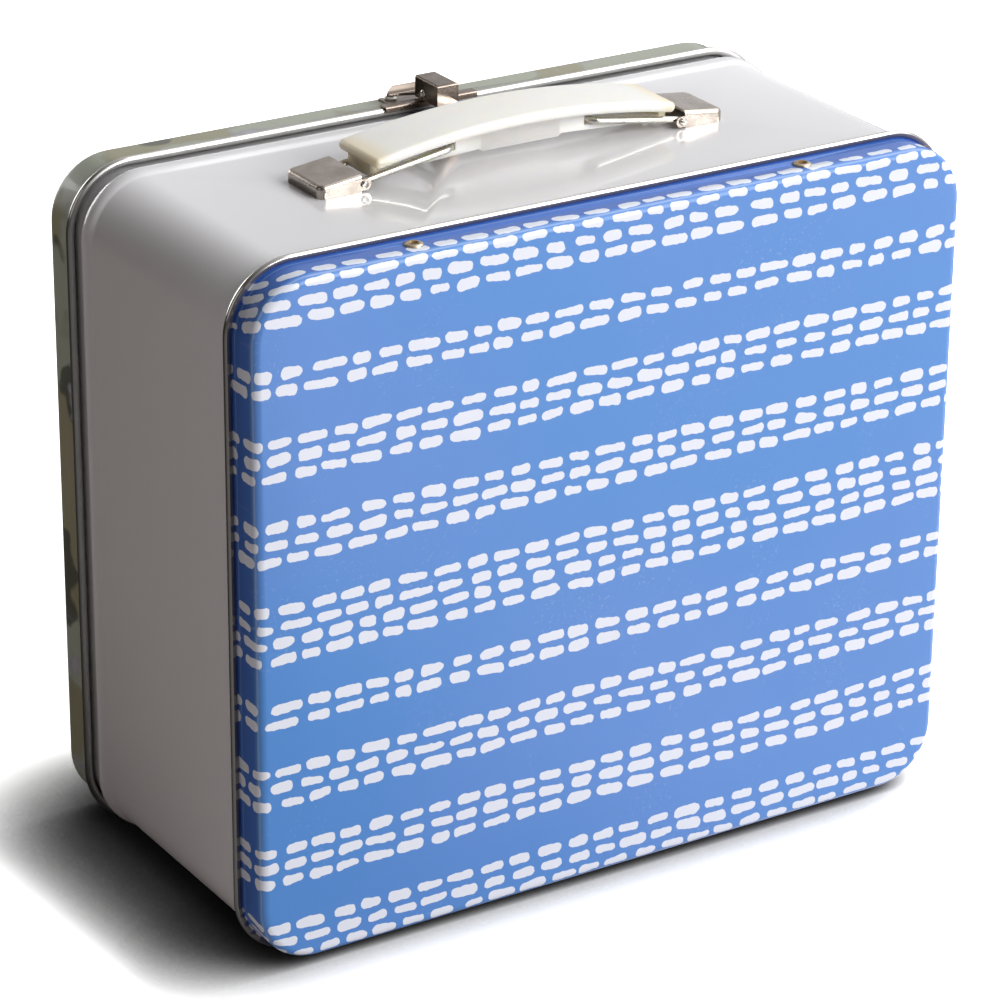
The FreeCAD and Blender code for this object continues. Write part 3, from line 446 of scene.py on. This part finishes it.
def printed_tin(name, face, rim_start, seam_start, ink_colour, bend_highlight_share):
    """A varnished print over tinplate. ink_colour is a function that gives the colour on the flat sheet."""
    material, tree, shader, place = new_finish(name, {
        "Coat Roughness": 0.06, "IOR": 1.5, "Specular IOR Level": 0.2})
    sheet = use_group(tree, sheet_group, {"Place": place, "Face": face})
    colour = ink_colour(tree, sheet)
    # The pale line is a painted highlight along the two bends, at the face's edge and below the rim.
    line = 0.0
    for spot in (bend_width, abs(rim_start - face) - bend_width):
        off = calc(tree, "ABSOLUTE", calc(tree, "SUBTRACT", sheet["Depth"], spot))
        line = calc(tree, "MAXIMUM", fade(tree, off, *line_edges), line)
    colour = cover(tree, colour, BEND_HIGHLIGHT, line, bend_highlight_share)
    # Painted shade darkens the narrow seam beside the rim.
    seam = fade(tree, sheet["Stand"], seam_start, seam_start + seam_edge)
    colour = cover(tree, colour, SEAM_SHADE, seam, seam_shade_share)
    marks = use_group(tree, marks_group, {"Place": place, "Spacing": 30 * MM})
    colour = cover(tree, colour, SCRATCHED, marks["Scratches"], 0.12)
    bare = fade(tree, sheet["Stand"], bare_start, bare_start + bare_edge)
    tree.links.new(blend(tree, bare, colour, TIN), shader.inputs["Base Color"])
    tree.links.new(bare, shader.inputs["Metallic"])
    roughen(tree, shader, 0.3, (marks["Smudges"], 0.08), (bare, -0.1))
    coat = calc(tree, "MULTIPLY", calc(tree, "SUBTRACT", 1.0, bare), varnish)
    tree.links.new(coat, shader.inputs["Coat Weight"])
    ripple(tree, shader, place, size=2.6 * MM, strength=0.02, depth=0.2 * MM)
    return material


print("bare metal starts", bare_start / MM, "mm up the curl")

# %% [markdown]
# The front is a clear blue whose cast shifts a little over the sheet. It is deeper on the drawn flange.
# The dashes are a bluish white on top.

# %% Printed front
BLUE, WARMER_BLUE = paint(83, 139, 208), paint(92, 139, 209)
FLANGE_BLUE = paint(66, 112, 196)
DASH_WHITE = paint(227, 232, 243)
cast_fineness = 9.0
cast_levels = (0.35, 0.65)
drawn_edges = (1.2 * MM, 2.6 * MM)


def blue_dashes(tree, sheet):
    """The colour of the front's print on the flat sheet."""
    ink = use_group(tree, dash_group, {"Across": sheet["Across"], "Along": sheet["Along"]})["Ink"]
    spot = add(tree, "ShaderNodeCombineXYZ", {0: sheet["Across"], 1: sheet["Along"]}).outputs[0]
    cast = fade(tree, noise(tree, spot, cast_fineness, 1.0), *cast_levels)
    blue = blend(tree, cast, BLUE, WARMER_BLUE)
    blue = blend(tree, fade(tree, sheet["Depth"], *drawn_edges), blue, FLANGE_BLUE)
    return blend(tree, ink, blue, DASH_WHITE)


blue_print = printed_tin("blue_print", face=panel_low.y, rim_start=panel_high.y - rim_width,
                         seam_start=0.25 * MM, ink_colour=blue_dashes, bend_highlight_share=0.2)
print("finish:", blue_print.name)

# %% [markdown]
# The lid carries a quiet print of soft washes that overlap on an olive ground: sage, dark moss and a greyed
# lavender. Each wash is a noise cut off at a level, with a darker edge, as where water colour dries.
# A wash has four values: the fineness of its noise, its level, its tint and a shift that sets it apart.

# %% Printed lid
OLIVE, PALE_OLIVE = paint(136, 132, 104), paint(164, 160, 134)
DRIED_EDGE = paint(70, 72, 66)
olive_fineness = 12.0
washes = ((26.0, 0.5, paint(168, 174, 160), 3.1), (34.0, 0.59, paint(62, 66, 60), 8.7),
          (44.0, 0.59, paint(170, 166, 180), 14.2))
shift_shares = (1.0, 0.6, 1.0)
wash_fade = 0.03
wash_share = 0.8
edge_width = 0.02
edge_share = 0.25


def soft_washes(tree, sheet):
    """The colour of the lid's print on the flat sheet."""
    spot = add(tree, "ShaderNodeCombineXYZ", {0: sheet["Across"], 1: sheet["Along"]}).outputs[0]
    colour = blend(tree, noise(tree, spot, olive_fineness, 3.0), OLIVE, PALE_OLIVE)
    for fineness, level, tint, shift in washes:
        moved = add(tree, "ShaderNodeMapping", {
            "Vector": spot, "Location": [shift * share for share in shift_shares]}).outputs[0]
        wet = noise(tree, moved, fineness, 3.0)
        edge = calc(tree, "ABSOLUTE", calc(tree, "SUBTRACT", wet, level + edge_width))
        tint = cover(tree, tint, DRIED_EDGE, fade(tree, edge, edge_width, 0.0), edge_share)
        colour = cover(tree, colour, tint, fade(tree, wet, level, level + wash_fade), wash_share)
    return colour


olive_print = printed_tin("olive_print", face=lid_high.y, rim_start=lid_low.y + rim_width,
                          seam_start=0.1 * MM, ink_colour=soft_washes, bend_highlight_share=0.12)
print("finish:", olive_print.name)

# %% [markdown]
# The band is enamelled white on the outside and baked. It is very smooth, and its gloss mirrors the wires.
# The inside of the box is bare tinplate under a thin lacquer, which shows faint grey crystals.

# %% White enamel
ENAMEL, SMUDGED_ENAMEL = paint(224, 223, 225), paint(218, 216, 215)
SPECK = paint(120, 112, 104)
seam_shade_edges = (panel_high.y + 0.45 * MM, panel_high.y + 0.1 * MM)


def make_enamel():
    """White enamel with faint smudges, a few specks and painted shade along the seam beside the front pan.
    """
    material, tree, shader, place = new_finish("white_enamel", {
        "Coat Roughness": 0.04, "IOR": 1.5, "Coat Weight": 0.6})
    marks = use_group(tree, marks_group, {"Place": place, "Spacing": 45 * MM})
    dust = {"Place": place, "Spacing": 26 * MM, "Radius": 0.22 * MM}
    specks = use_group(tree, speck_group, dust)["Specks"]
    white = cover(tree, ENAMEL, SMUDGED_ENAMEL, marks["Smudges"], 0.2)
    white = cover(tree, white, SPECK, specks, 0.55)
    spot = add(tree, "ShaderNodeSeparateXYZ", {0: place}).outputs["Y"]
    # Painted shade along the seam beside the front pan.
    white = cover(tree, white, SEAM_SHADE, fade(tree, spot, *seam_shade_edges), 0.75)
    tree.links.new(white, shader.inputs["Base Color"])
    roughen(tree, shader, 0.22, (marks["Smudges"], 0.04))
    ripple(tree, shader, place, size=3.4 * MM, strength=0.02, depth=0.2 * MM)
    return material


white_enamel = make_enamel()
print("finish:", white_enamel.name)

# %% Bare tin
PALE_TIN, GREY_TIN = paint(200, 199, 196), paint(176, 177, 178)
crystal_fineness = 260.0


def make_bare_tin():
    """Lacquered tinplate with a faint grain of crystals."""
    material, tree, shader, place = new_finish("bare_tin", {"Metallic": 1.0})
    crystals = add(tree, "ShaderNodeTexVoronoi", {"Vector": place, "Scale": crystal_fineness})
    grain = add(tree, "ShaderNodeSeparateColor", {0: crystals.outputs["Color"]}).outputs[0]
    tree.links.new(cover(tree, PALE_TIN, GREY_TIN, grain, 0.35), shader.inputs["Base Color"])
    marks = use_group(tree, marks_group, {"Place": place, "Spacing": 20 * MM})
    roughen(tree, shader, 0.34, (marks["Smudges"], 0.12))
    return material


bare_tin = make_bare_tin()
print("finish:", bare_tin.name)

# %% [markdown]
# The grip is moulded in ivory plastic, a little translucent and softly glossy.
# Subsurface light inside the shader keeps its shaded underside warm, as thin pale plastic looks.
# Its two ends carry painted warm light, which stands for light shining through the plastic there.

# %% Ivory plastic
IVORY, SMUDGED_IVORY, END_WARM_LIGHT = paint(253, 250, 243), paint(250, 246, 236), paint(250, 230, 198)
grip_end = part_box("grip")[1].x
end_light_length = 7 * MM


def make_ivory():
    """Ivory plastic, softly glossy, lit from within, with painted warm light at the grip's ends."""
    material, tree, shader, place = new_finish("ivory_plastic", {
        "IOR": 1.49, "Subsurface Weight": 0.5, "Subsurface Radius": (1.0, 0.8, 0.5),
        "Subsurface Scale": 3 * MM})
    marks = use_group(tree, marks_group, {"Place": place, "Spacing": 14 * MM})
    colour = blend(tree, marks["Smudges"], IVORY, SMUDGED_IVORY)
    # Painted warm light at both ends of the grip stands for light shining through the plastic.
    across = add(tree, "ShaderNodeSeparateXYZ", {0: place}).outputs["X"]
    end_light = fade(tree, calc(tree, "ABSOLUTE", across), grip_end - end_light_length, grip_end)
    tree.links.new(cover(tree, colour, END_WARM_LIGHT, end_light, 0.8), shader.inputs["Base Color"])
    roughen(tree, shader, 0.3, (marks["Smudges"], 0.08), (marks["Scratches"], 0.15))
    ripple(tree, shader, place, size=1.2 * MM, strength=0.05, depth=0.1 * MM)
    return material


ivory_plastic = make_ivory()
print("finish:", ivory_plastic.name)

# %% [markdown]
# Brackets and latch are stamped steel with a warm nickel plating, which the latch has lost more of.
# The links and pins are drawn wire. All are plain metal shaders, and what tells them apart is colour,
# gloss and the size of their marks.

# %% Plated and drawn metal
def make_metal(name, colour, tarnish, dullness, mark_spacing):
    """A bare metal with smudged gloss, fine scratches and a darker tarnish in patches."""
    material, tree, shader, place = new_finish(name, {"Metallic": 1.0})
    marks = use_group(tree, marks_group, {"Place": place, "Spacing": mark_spacing})
    tree.links.new(cover(tree, colour, tarnish, marks["Smudges"], 0.6), shader.inputs["Base Color"])
    roughen(tree, shader, dullness, (marks["Smudges"], 0.12), (marks["Scratches"], 0.2))
    groove = {"Height": marks["Scratches"], "Strength": 0.1, "Distance": 0.02 * MM}
    bump = add(tree, "ShaderNodeBump", groove, invert=True)
    tree.links.new(bump.outputs[0], shader.inputs["Normal"])
    return material


nickel_plate = make_metal("nickel_plate", paint(182, 173, 164), paint(146, 135, 125), 0.24, 6 * MM)
aged_nickel = make_metal("aged_nickel", paint(138, 126, 116), paint(98, 87, 78), 0.24, 5 * MM)
steel_wire = make_metal("steel_wire", paint(208, 205, 198), paint(170, 165, 156), 0.2, 4 * MM)
print("finishes:", nickel_plate.name, aged_nickel.name, steel_wire.name)

# %% [markdown]
# The rivets on the front are aged brass: a light rolled rim, a darker dished centre.
# The rivet's own mesh carries a value that grows from its centre to its rim, which the finish reads.

# %% Rivet metal
rim_levels = (0.35, 0.75)


def make_rivet_metal(name, rim_colour, centre_colour):
    """Metal for turned rivets, light on the rolled rim and dark in the dished centre."""
    material, tree, shader, place = new_finish(name, {"Metallic": 1.0})
    ring = add(tree, "ShaderNodeAttribute", attribute_name="from_centre").outputs["Fac"]
    marks = use_group(tree, marks_group, {"Place": place, "Spacing": 3 * MM})
    dirty = calc(tree, "MULTIPLY", marks["Smudges"], 0.5)
    colour = blend(tree, fade(tree, ring, *rim_levels), centre_colour, rim_colour)
    tree.links.new(blend(tree, dirty, colour, centre_colour), shader.inputs["Base Color"])
    roughen(tree, shader, 0.24, (dirty, 1.0))
    return material


brass_rivet = make_rivet_metal("brass_rivet", paint(200, 186, 164), paint(128, 98, 62))
steel_rivet = make_rivet_metal("steel_rivet", paint(205, 200, 192), paint(140, 134, 126))
print("finishes:", brass_rivet.name, steel_rivet.name)

# %% [markdown]
# A CAD node comes as loose triangles, which shade like cut facets.
# A copy with its points merged can be shaded smooth, and edges sharper than a set angle stay crisp.
# The copy rides on the same body and stands for the node.

# %% Smooth copies of the CAD parts
sharp_angle = math.radians(28)
merge_distance = 0.0005 * MM
bodies = frame["record"]["behaviour"]["bodies"]
body_of_node = {node: body for body, nodes in bodies.items() for node in nodes}


def finish_part(node, *materials):
    """A smooth copy of a CAD node with its materials, standing for that node."""
    mesh = frame["nodes"][node].data.copy()
    mesh.name = node + "_finished"
    form = bmesh.new()
    form.from_mesh(mesh)
    bmesh.ops.remove_doubles(form, verts=form.verts, dist=merge_distance)
    form.to_mesh(mesh)
    form.free()
    mesh.materials.clear()
    for material in materials:
        mesh.materials.append(material)
    for face in mesh.polygons:
        face.material_index = 0
        face.use_smooth = True
    mesh.set_sharp_from_angle(angle=sharp_angle)
    piece = bpy.data.objects.new(node + "_finished", mesh)
    scene.collection.objects.link(piece)
    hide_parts(node)
    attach(piece, body_of_node[node])
    return piece


for node in ("handle_bracket_left", "handle_bracket_right", "hinge_strap_left", "hinge_strap_right"):
    finish_part(node, nickel_plate)
for node in ("latch_housing", "latch_lever", "latch_strike"):
    finish_part(node, aged_nickel)
for node in ("handle_link_left", "handle_link_right", "hinge_wire_left", "hinge_wire_right", "latch_pin"):
    finish_part(node, steel_wire)
grip = finish_part("grip", ivory_plastic)
print("grip faces:", len(grip.data.polygons))

# %% [markdown]
# The band and the two pans have another finish inside. A face belongs to the inside when it looks towards
# the middle of the box, so it is found from its own direction and place, and gets the second material.

# %% Printed pans and enamelled band
def outward_at(spot):
    """The direction straight out of the box's rounded outline, at a place on its wall."""
    across = max(abs(spot.x) - (half_width - corner_radius), 0) * math.copysign(1, spot.x)
    along = max(abs(spot.z - middle_height) - (half_height - corner_radius), 0)
    along *= math.copysign(1, spot.z - middle_height)
    return Vector((across, 0, along)).normalized()


def line_inside(piece, front_sign):
    """Gives the faces that look inwards the second material. front_sign is the way the pan looks along Y."""
    inner = 0
    for face in piece.data.polygons:
        looks_out = face.normal.dot(outward_at(face.center)) + face.normal.y * front_sign
        if looks_out < 0:
            face.material_index = 1
            inner += 1
    return inner


front = finish_part("front_panel", blue_print, bare_tin)
back_lid = finish_part("lid", olive_print, bare_tin)
band = finish_part("body_band", white_enamel, bare_tin)
inner_faces = [line_inside(front, -1), line_inside(back_lid, 1), line_inside(band, 0)]
print("inner faces of front, lid and band:", inner_faces)

# %% [markdown]
# One rivet of unit size is turned from a profile, and Geometry Nodes set a copy on every rivet place.
# Each place carries a vector that says which way its head looks and a number for the head's radius.
# A fixed seed turns each rivet differently.

# %% One turned rivet
shank_share = 0.55
rivet_sides = 28
rivet_sharp_angle = math.radians(50)


def turned_rivet():
    """A semi-tubular rivet with a head of radius 1 and height 1, and a value from centre to rim."""
    profile = ((0, 0.42), (0.3, 0.42), (0.4, 0.5), (0.48, 0.92), (0.6, 1), (0.8, 0.92), (0.95, 0.6),
               (1, 0.2), (1, 0), (shank_share, 0), (shank_share, -1), (0, -1))
    form = bmesh.new()
    verts = [form.verts.new((radius, 0, high)) for radius, high in profile]
    edges = [form.edges.new(pair) for pair in zip(verts, verts[1:])]
    bmesh.ops.spin(form, geom=verts + edges, axis=(0, 0, 1), cent=(0, 0, 0), angle=2 * math.pi,
                   steps=rivet_sides)
    bmesh.ops.remove_doubles(form, verts=form.verts, dist=merge_distance)
    bmesh.ops.recalc_face_normals(form, faces=form.faces)
    mesh = bpy.data.meshes.new("turned_rivet")
    form.to_mesh(mesh)
    form.free()
    ring = mesh.attributes.new("from_centre", "FLOAT", "POINT")
    for vert in mesh.vertices:
        ring.data[vert.index].value = min(1.0, math.hypot(vert.co.x, vert.co.y))
    for face in mesh.polygons:
        face.use_smooth = True
    mesh.set_sharp_from_angle(angle=rivet_sharp_angle)
    return bpy.data.objects.new("turned_rivet", mesh)


rivet = turned_rivet()
print("rivet faces:", len(rivet.data.polygons))

# %% Geometry Nodes that set the rivets
# A random node's sockets repeat their names, so its largest number and its result go by number.
RANDOM_MOST, RANDOM_NUMBER = 3, 1
setter_inputs = (("Places", "NodeSocketGeometry"), ("Rivet", "NodeSocketObject"),
                 ("Metal", "NodeSocketMaterial"), ("Head Height", "NodeSocketFloat"),
                 ("Seed", "NodeSocketInt"))


def rivet_setter():
    """A tree that puts the rivet on every point, its head along the point's facing vector."""
    tree = bpy.data.node_groups.new("set_rivets", "GeometryNodeTree")
    for label, kind in setter_inputs:
        tree.interface.new_socket(label, in_out="INPUT", socket_type=kind)
    tree.interface.new_socket("Rivets", in_out="OUTPUT", socket_type="NodeSocketGeometry")
    given = tree.nodes.new("NodeGroupInput").outputs
    taken = tree.nodes.new("NodeGroupOutput").inputs
    shape = add(tree, "GeometryNodeObjectInfo", {"Object": given["Rivet"]}).outputs["Geometry"]
    facing, radius = [
        add(tree, "GeometryNodeInputNamedAttribute", {"Name": name}, data_type=kind).outputs[0]
        for name, kind in (("facing", "FLOAT_VECTOR"), ("head_radius", "FLOAT"))]
    size = add(tree, "ShaderNodeCombineXYZ", {0: radius, 1: radius, 2: given["Head Height"]}).outputs[0]
    upright = add(tree, "FunctionNodeAlignRotationToVector", {"Vector": facing}, axis="Z").outputs[0]
    turn = add(tree, "FunctionNodeRandomValue", {
        RANDOM_MOST: 2 * math.pi, "Seed": given["Seed"]}, data_type="FLOAT").outputs[RANDOM_NUMBER]
    spin = add(tree, "ShaderNodeCombineXYZ", {2: turn}).outputs[0]
    spin = add(tree, "FunctionNodeEulerToRotation", {0: spin}).outputs[0]
    placed = add(tree, "FunctionNodeRotateRotation", {0: upright, 1: spin},
                 rotation_space="LOCAL").outputs[0]
    points = add(tree, "GeometryNodeInstanceOnPoints", {
        "Points": given["Places"], "Instance": shape, "Rotation": placed, "Scale": size}).outputs[0]
    real = add(tree, "GeometryNodeRealizeInstances", {0: points}).outputs[0]
    dressed = add(tree, "GeometryNodeSetMaterial", {"Geometry": real, "Material": given["Metal"]}).outputs[0]
    tree.links.new(dressed, taken["Rivets"])
    return tree


rivet_tree = rivet_setter()
print("tree:", rivet_tree.name)

# %% [markdown]
# The places come from the CAD rivets themselves: every loose part of a rivet node is one rivet.
# Its middle gives the place, and the wider end is its head. The places are sorted, so that every rivet keeps
# its own random turn each time. The new rivets then stand for the old nodes.

# %% Find the rivet places
rivet_head_height = 0.6 * MM


def rivet_places(node):
    """Where each rivet of a node sits, which way its head looks and how wide the head is."""
    form = bmesh.new()
    form.from_mesh(frame["nodes"][node].data)
    bmesh.ops.remove_doubles(form, verts=form.verts, dist=merge_distance)
    left = set(form.verts)
    places = []
    while left:
        group = [left.pop()]
        for vert in group:
            for edge in vert.link_edges:
                other = edge.other_vert(vert)
                if other in left:
                    left.remove(other)
                    group.append(other)
        xs, ys, zs = zip(*[vert.co for vert in group])
        centre = Vector(((min(xs) + max(xs)) / 2, (min(ys) + max(ys)) / 2, 0))
        widest = max(group, key=lambda vert: (vert.co - centre).xy.length)
        way = 1 if widest.co.z > (min(zs) + max(zs)) / 2 else -1
        top = max(zs) if way > 0 else min(zs)
        spot = Vector((centre.x, centre.y, top - way * rivet_head_height))
        places.append((spot, Vector((0, 0, way)), (max(xs) - min(xs)) / 2))
    form.free()
    return sorted(places, key=lambda place: tuple(place[0]))


def set_rivets(node, metal, seed):
    """Builds one node's rivets with the tree and lets them stand for the node."""
    places = rivet_places(node)
    mesh = bpy.data.meshes.new(node + "_set")
    mesh.from_pydata([spot for spot, facing, radius in places], [], [])
    mesh.attributes.new("facing", "FLOAT_VECTOR", "POINT")
    mesh.attributes.new("head_radius", "FLOAT", "POINT")
    for index, (spot, facing, radius) in enumerate(places):
        mesh.attributes["facing"].data[index].vector = facing
        mesh.attributes["head_radius"].data[index].value = radius
    maker = bpy.data.objects.new(node + "_maker", mesh)
    scene.collection.objects.link(maker)
    modifier = maker.modifiers.new("set_rivets", "NODES")
    modifier.node_group = rivet_tree
    inputs = [item for item in rivet_tree.interface.items_tree if item.in_out == "INPUT"]
    sockets = {item.name: item.identifier for item in inputs}
    modifier[sockets["Rivet"]] = rivet
    modifier[sockets["Metal"]] = metal
    modifier[sockets["Head Height"]] = rivet_head_height
    modifier[sockets["Seed"]] = seed
    seen = maker.evaluated_get(bpy.context.evaluated_depsgraph_get())
    piece = bpy.data.objects.new(node + "_finished", bpy.data.meshes.new_from_object(seen))
    maker.modifiers.remove(modifier)
    bpy.data.objects.remove(maker)
    scene.collection.objects.link(piece)
    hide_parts(node)
    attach(piece, body_of_node[node])
    return len(places)


for seed, (node, metal) in enumerate((("panel_rivets", brass_rivet), ("latch_rivets", steel_rivet),
                                      ("strike_rivets", steel_rivet), ("hinge_rivets", steel_rivet))):
    print(node, set_rivets(node, metal, seed))

# %% [markdown]
# The floor is a plain sheet of paper. The light that it throws back on the box is that of grey paper, which
# keeps the left side in shade. What shiny parts mirror is painted on the sheet: painted light on the right
# and painted shade on the left, so a pale veil lies over the print and ends at its lower left. Behind the
# box they mirror only a painted dark reflection, as a dark card that photographers lay down would give, to
# draw a dark line beside a bright edge.
# The camera sees the sheet as white, and darker only in a painted shadow: an occlusion mask that leans away
# from the light.

# %% Floor
floor_size = 6.0
shadow_reach = 34 * MM
shadow_depth = 5.0
shadow_samples = 12
toward_light = Vector((0.58, -0.5, 0.64)).normalized()
mirror_fade_edge = 80 * MM
paper_glow = 0.85
SHADOW = (0, 0, 0, 1)
WHITE_PAPER = (1.3, 1.3, 1.3, 1.0)
PAINTED_DARK_REFLECTION = (0.06, 0.052, 0.048, 1.0)
DIM_PAPER = (0.2, 0.2, 0.2, 1.0)
LIT_PAPER = (2.1, 2.1, 2.25, 1.0)
GREY_PAPER = (0.58, 0.51, 0.48, 1.0)
floor_mesh = bpy.data.meshes.new("floor")
corners = [(x * floor_size, y * floor_size, 0) for x, y in ((-1, -1), (1, -1), (1, 1), (-1, 1))]
floor_mesh.from_pydata(corners, [], [(0, 1, 2, 3)])
floor = bpy.data.objects.new("floor", floor_mesh)
scene.collection.objects.link(floor)


def make_paper():
    """Paper that the camera, mirrors and bounced light each see in a colour of its own."""
    material = bpy.data.materials.new("floor_paper")
    material.use_nodes = True
    tree = material.node_tree
    rays = add(tree, "ShaderNodeLightPath").outputs
    mirrored = calc(tree, "MAXIMUM", rays["Is Glossy Ray"], rays["Is Transmission Ray"])
    # The shadow that the camera sees is painted: an occlusion mask, leaning towards the light, darkens the
    # paper.
    lean = add(tree, "ShaderNodeCombineXYZ", dict(enumerate(toward_light))).outputs[0]
    open_sky = add(tree, "ShaderNodeAmbientOcclusion", {
        "Distance": shadow_reach, "Normal": lean}, samples=shadow_samples).outputs["AO"]
    open_sky = calc(tree, "POWER", open_sky, shadow_depth)
    seen = blend(tree, open_sky, SHADOW, WHITE_PAPER)
    # What mirrors see is painted: light on the right, shade on the left and a dark reflection behind the
    # box.
    place = add(tree, "ShaderNodeTexCoord").outputs["Object"]
    spot = add(tree, "ShaderNodeSeparateXYZ", {0: place}).outputs
    sheet = blend(tree, fade(tree, spot["X"], -mirror_fade_edge, mirror_fade_edge), DIM_PAPER, LIT_PAPER)
    reflection = blend(tree, fade(tree, spot["Y"], mirror_fade_edge, -mirror_fade_edge), PAINTED_DARK_REFLECTION, sheet)
    paper = blend(tree, mirrored, GREY_PAPER, reflection)
    paper = blend(tree, rays["Is Camera Ray"], paper, seen)
    matt = add(tree, "ShaderNodeBsdfDiffuse", {"Color": paper}).outputs[0]
    glow = calc(tree, "MULTIPLY", rays["Is Camera Ray"], calc(tree, "MULTIPLY", open_sky, paper_glow))
    glow = add(tree, "ShaderNodeEmission", {"Strength": glow}).outputs[0]
    both = add(tree, "ShaderNodeAddShader", {0: matt, 1: glow}).outputs[0]
    tree.links.new(both, tree.nodes["Material Output"].inputs["Surface"])
    return material


floor_mesh.materials.append(make_paper())
print("floor laid")

# %% [markdown]
# One large soft lamp in front and to the right lights the print, and a smaller one above on the right lights
# the white top. The left side has only a weak fill and the glow of the floor, so the box reads as a solid.
# A low lamp behind is for the lid, and hardly reaches the top.
# The room around is dark on the left and light on the right, which the plated parts mirror. Its own light
# on the box is weaker than what the mirrors show.

# %% Studio lamps
box_middle = Vector((0, 0, middle_height))


def soft_lamp(name, place, width, power):
    """A square lamp that looks at the middle of the box."""
    lamp = bpy.data.lights.new(name, "AREA")
    lamp.shape = "SQUARE"
    lamp.size = width
    lamp.energy = power
    holder = bpy.data.objects.new(name, lamp)
    holder.location = place
    holder.rotation_euler = (box_middle - Vector(place)).to_track_quat("-Z", "Y").to_euler()
    scene.collection.objects.link(holder)


soft_lamp("front_key", place=(1.0, -1.85, 1.25), width=1.4, power=53.5)
soft_lamp("overhead", place=(0.65, -0.05, 0.9), width=0.8, power=5.3)
soft_lamp("left_fill", place=(-1.6, -0.2, 0.9), width=1.2, power=1.9)
soft_lamp("back_fill", place=(-0.5, 2.0, 0.45), width=1.0, power=14)

# %% Room
ROOM_LEFT, ROOM_RIGHT = (0.07, 0.06, 0.055, 1.0), (0.8, 0.8, 0.82, 1.0)
room_edges = (-0.6, 0.7)
room_light = 0.28
room_seen = 1.0
world = bpy.data.worlds.new("studio")
scene.world = world
world.use_nodes = True
sky = world.node_tree
toward = add(sky, "ShaderNodeTexCoord").outputs["Generated"]
from_left = add(sky, "ShaderNodeSeparateXYZ", {0: toward}).outputs["X"]
tone = blend(sky, fade(sky, from_left, *room_edges), ROOM_LEFT, ROOM_RIGHT)
sky.links.new(tone, sky.nodes["Background"].inputs["Color"])
rays = add(sky, "ShaderNodeLightPath").outputs
mirrored = calc(sky, "MAXIMUM", rays["Is Glossy Ray"], rays["Is Transmission Ray"])
mirrored = calc(sky, "MAXIMUM", mirrored, rays["Is Camera Ray"])
glow = calc(sky, "MULTIPLY_ADD", mirrored, room_seen - room_light, room_light)
sky.links.new(glow, sky.nodes["Background"].inputs["Strength"])
print("room:", world.name)

# %% [markdown]
# At the end the scene is brought up to date.

# %% Finish
bpy.context.view_layer.update()
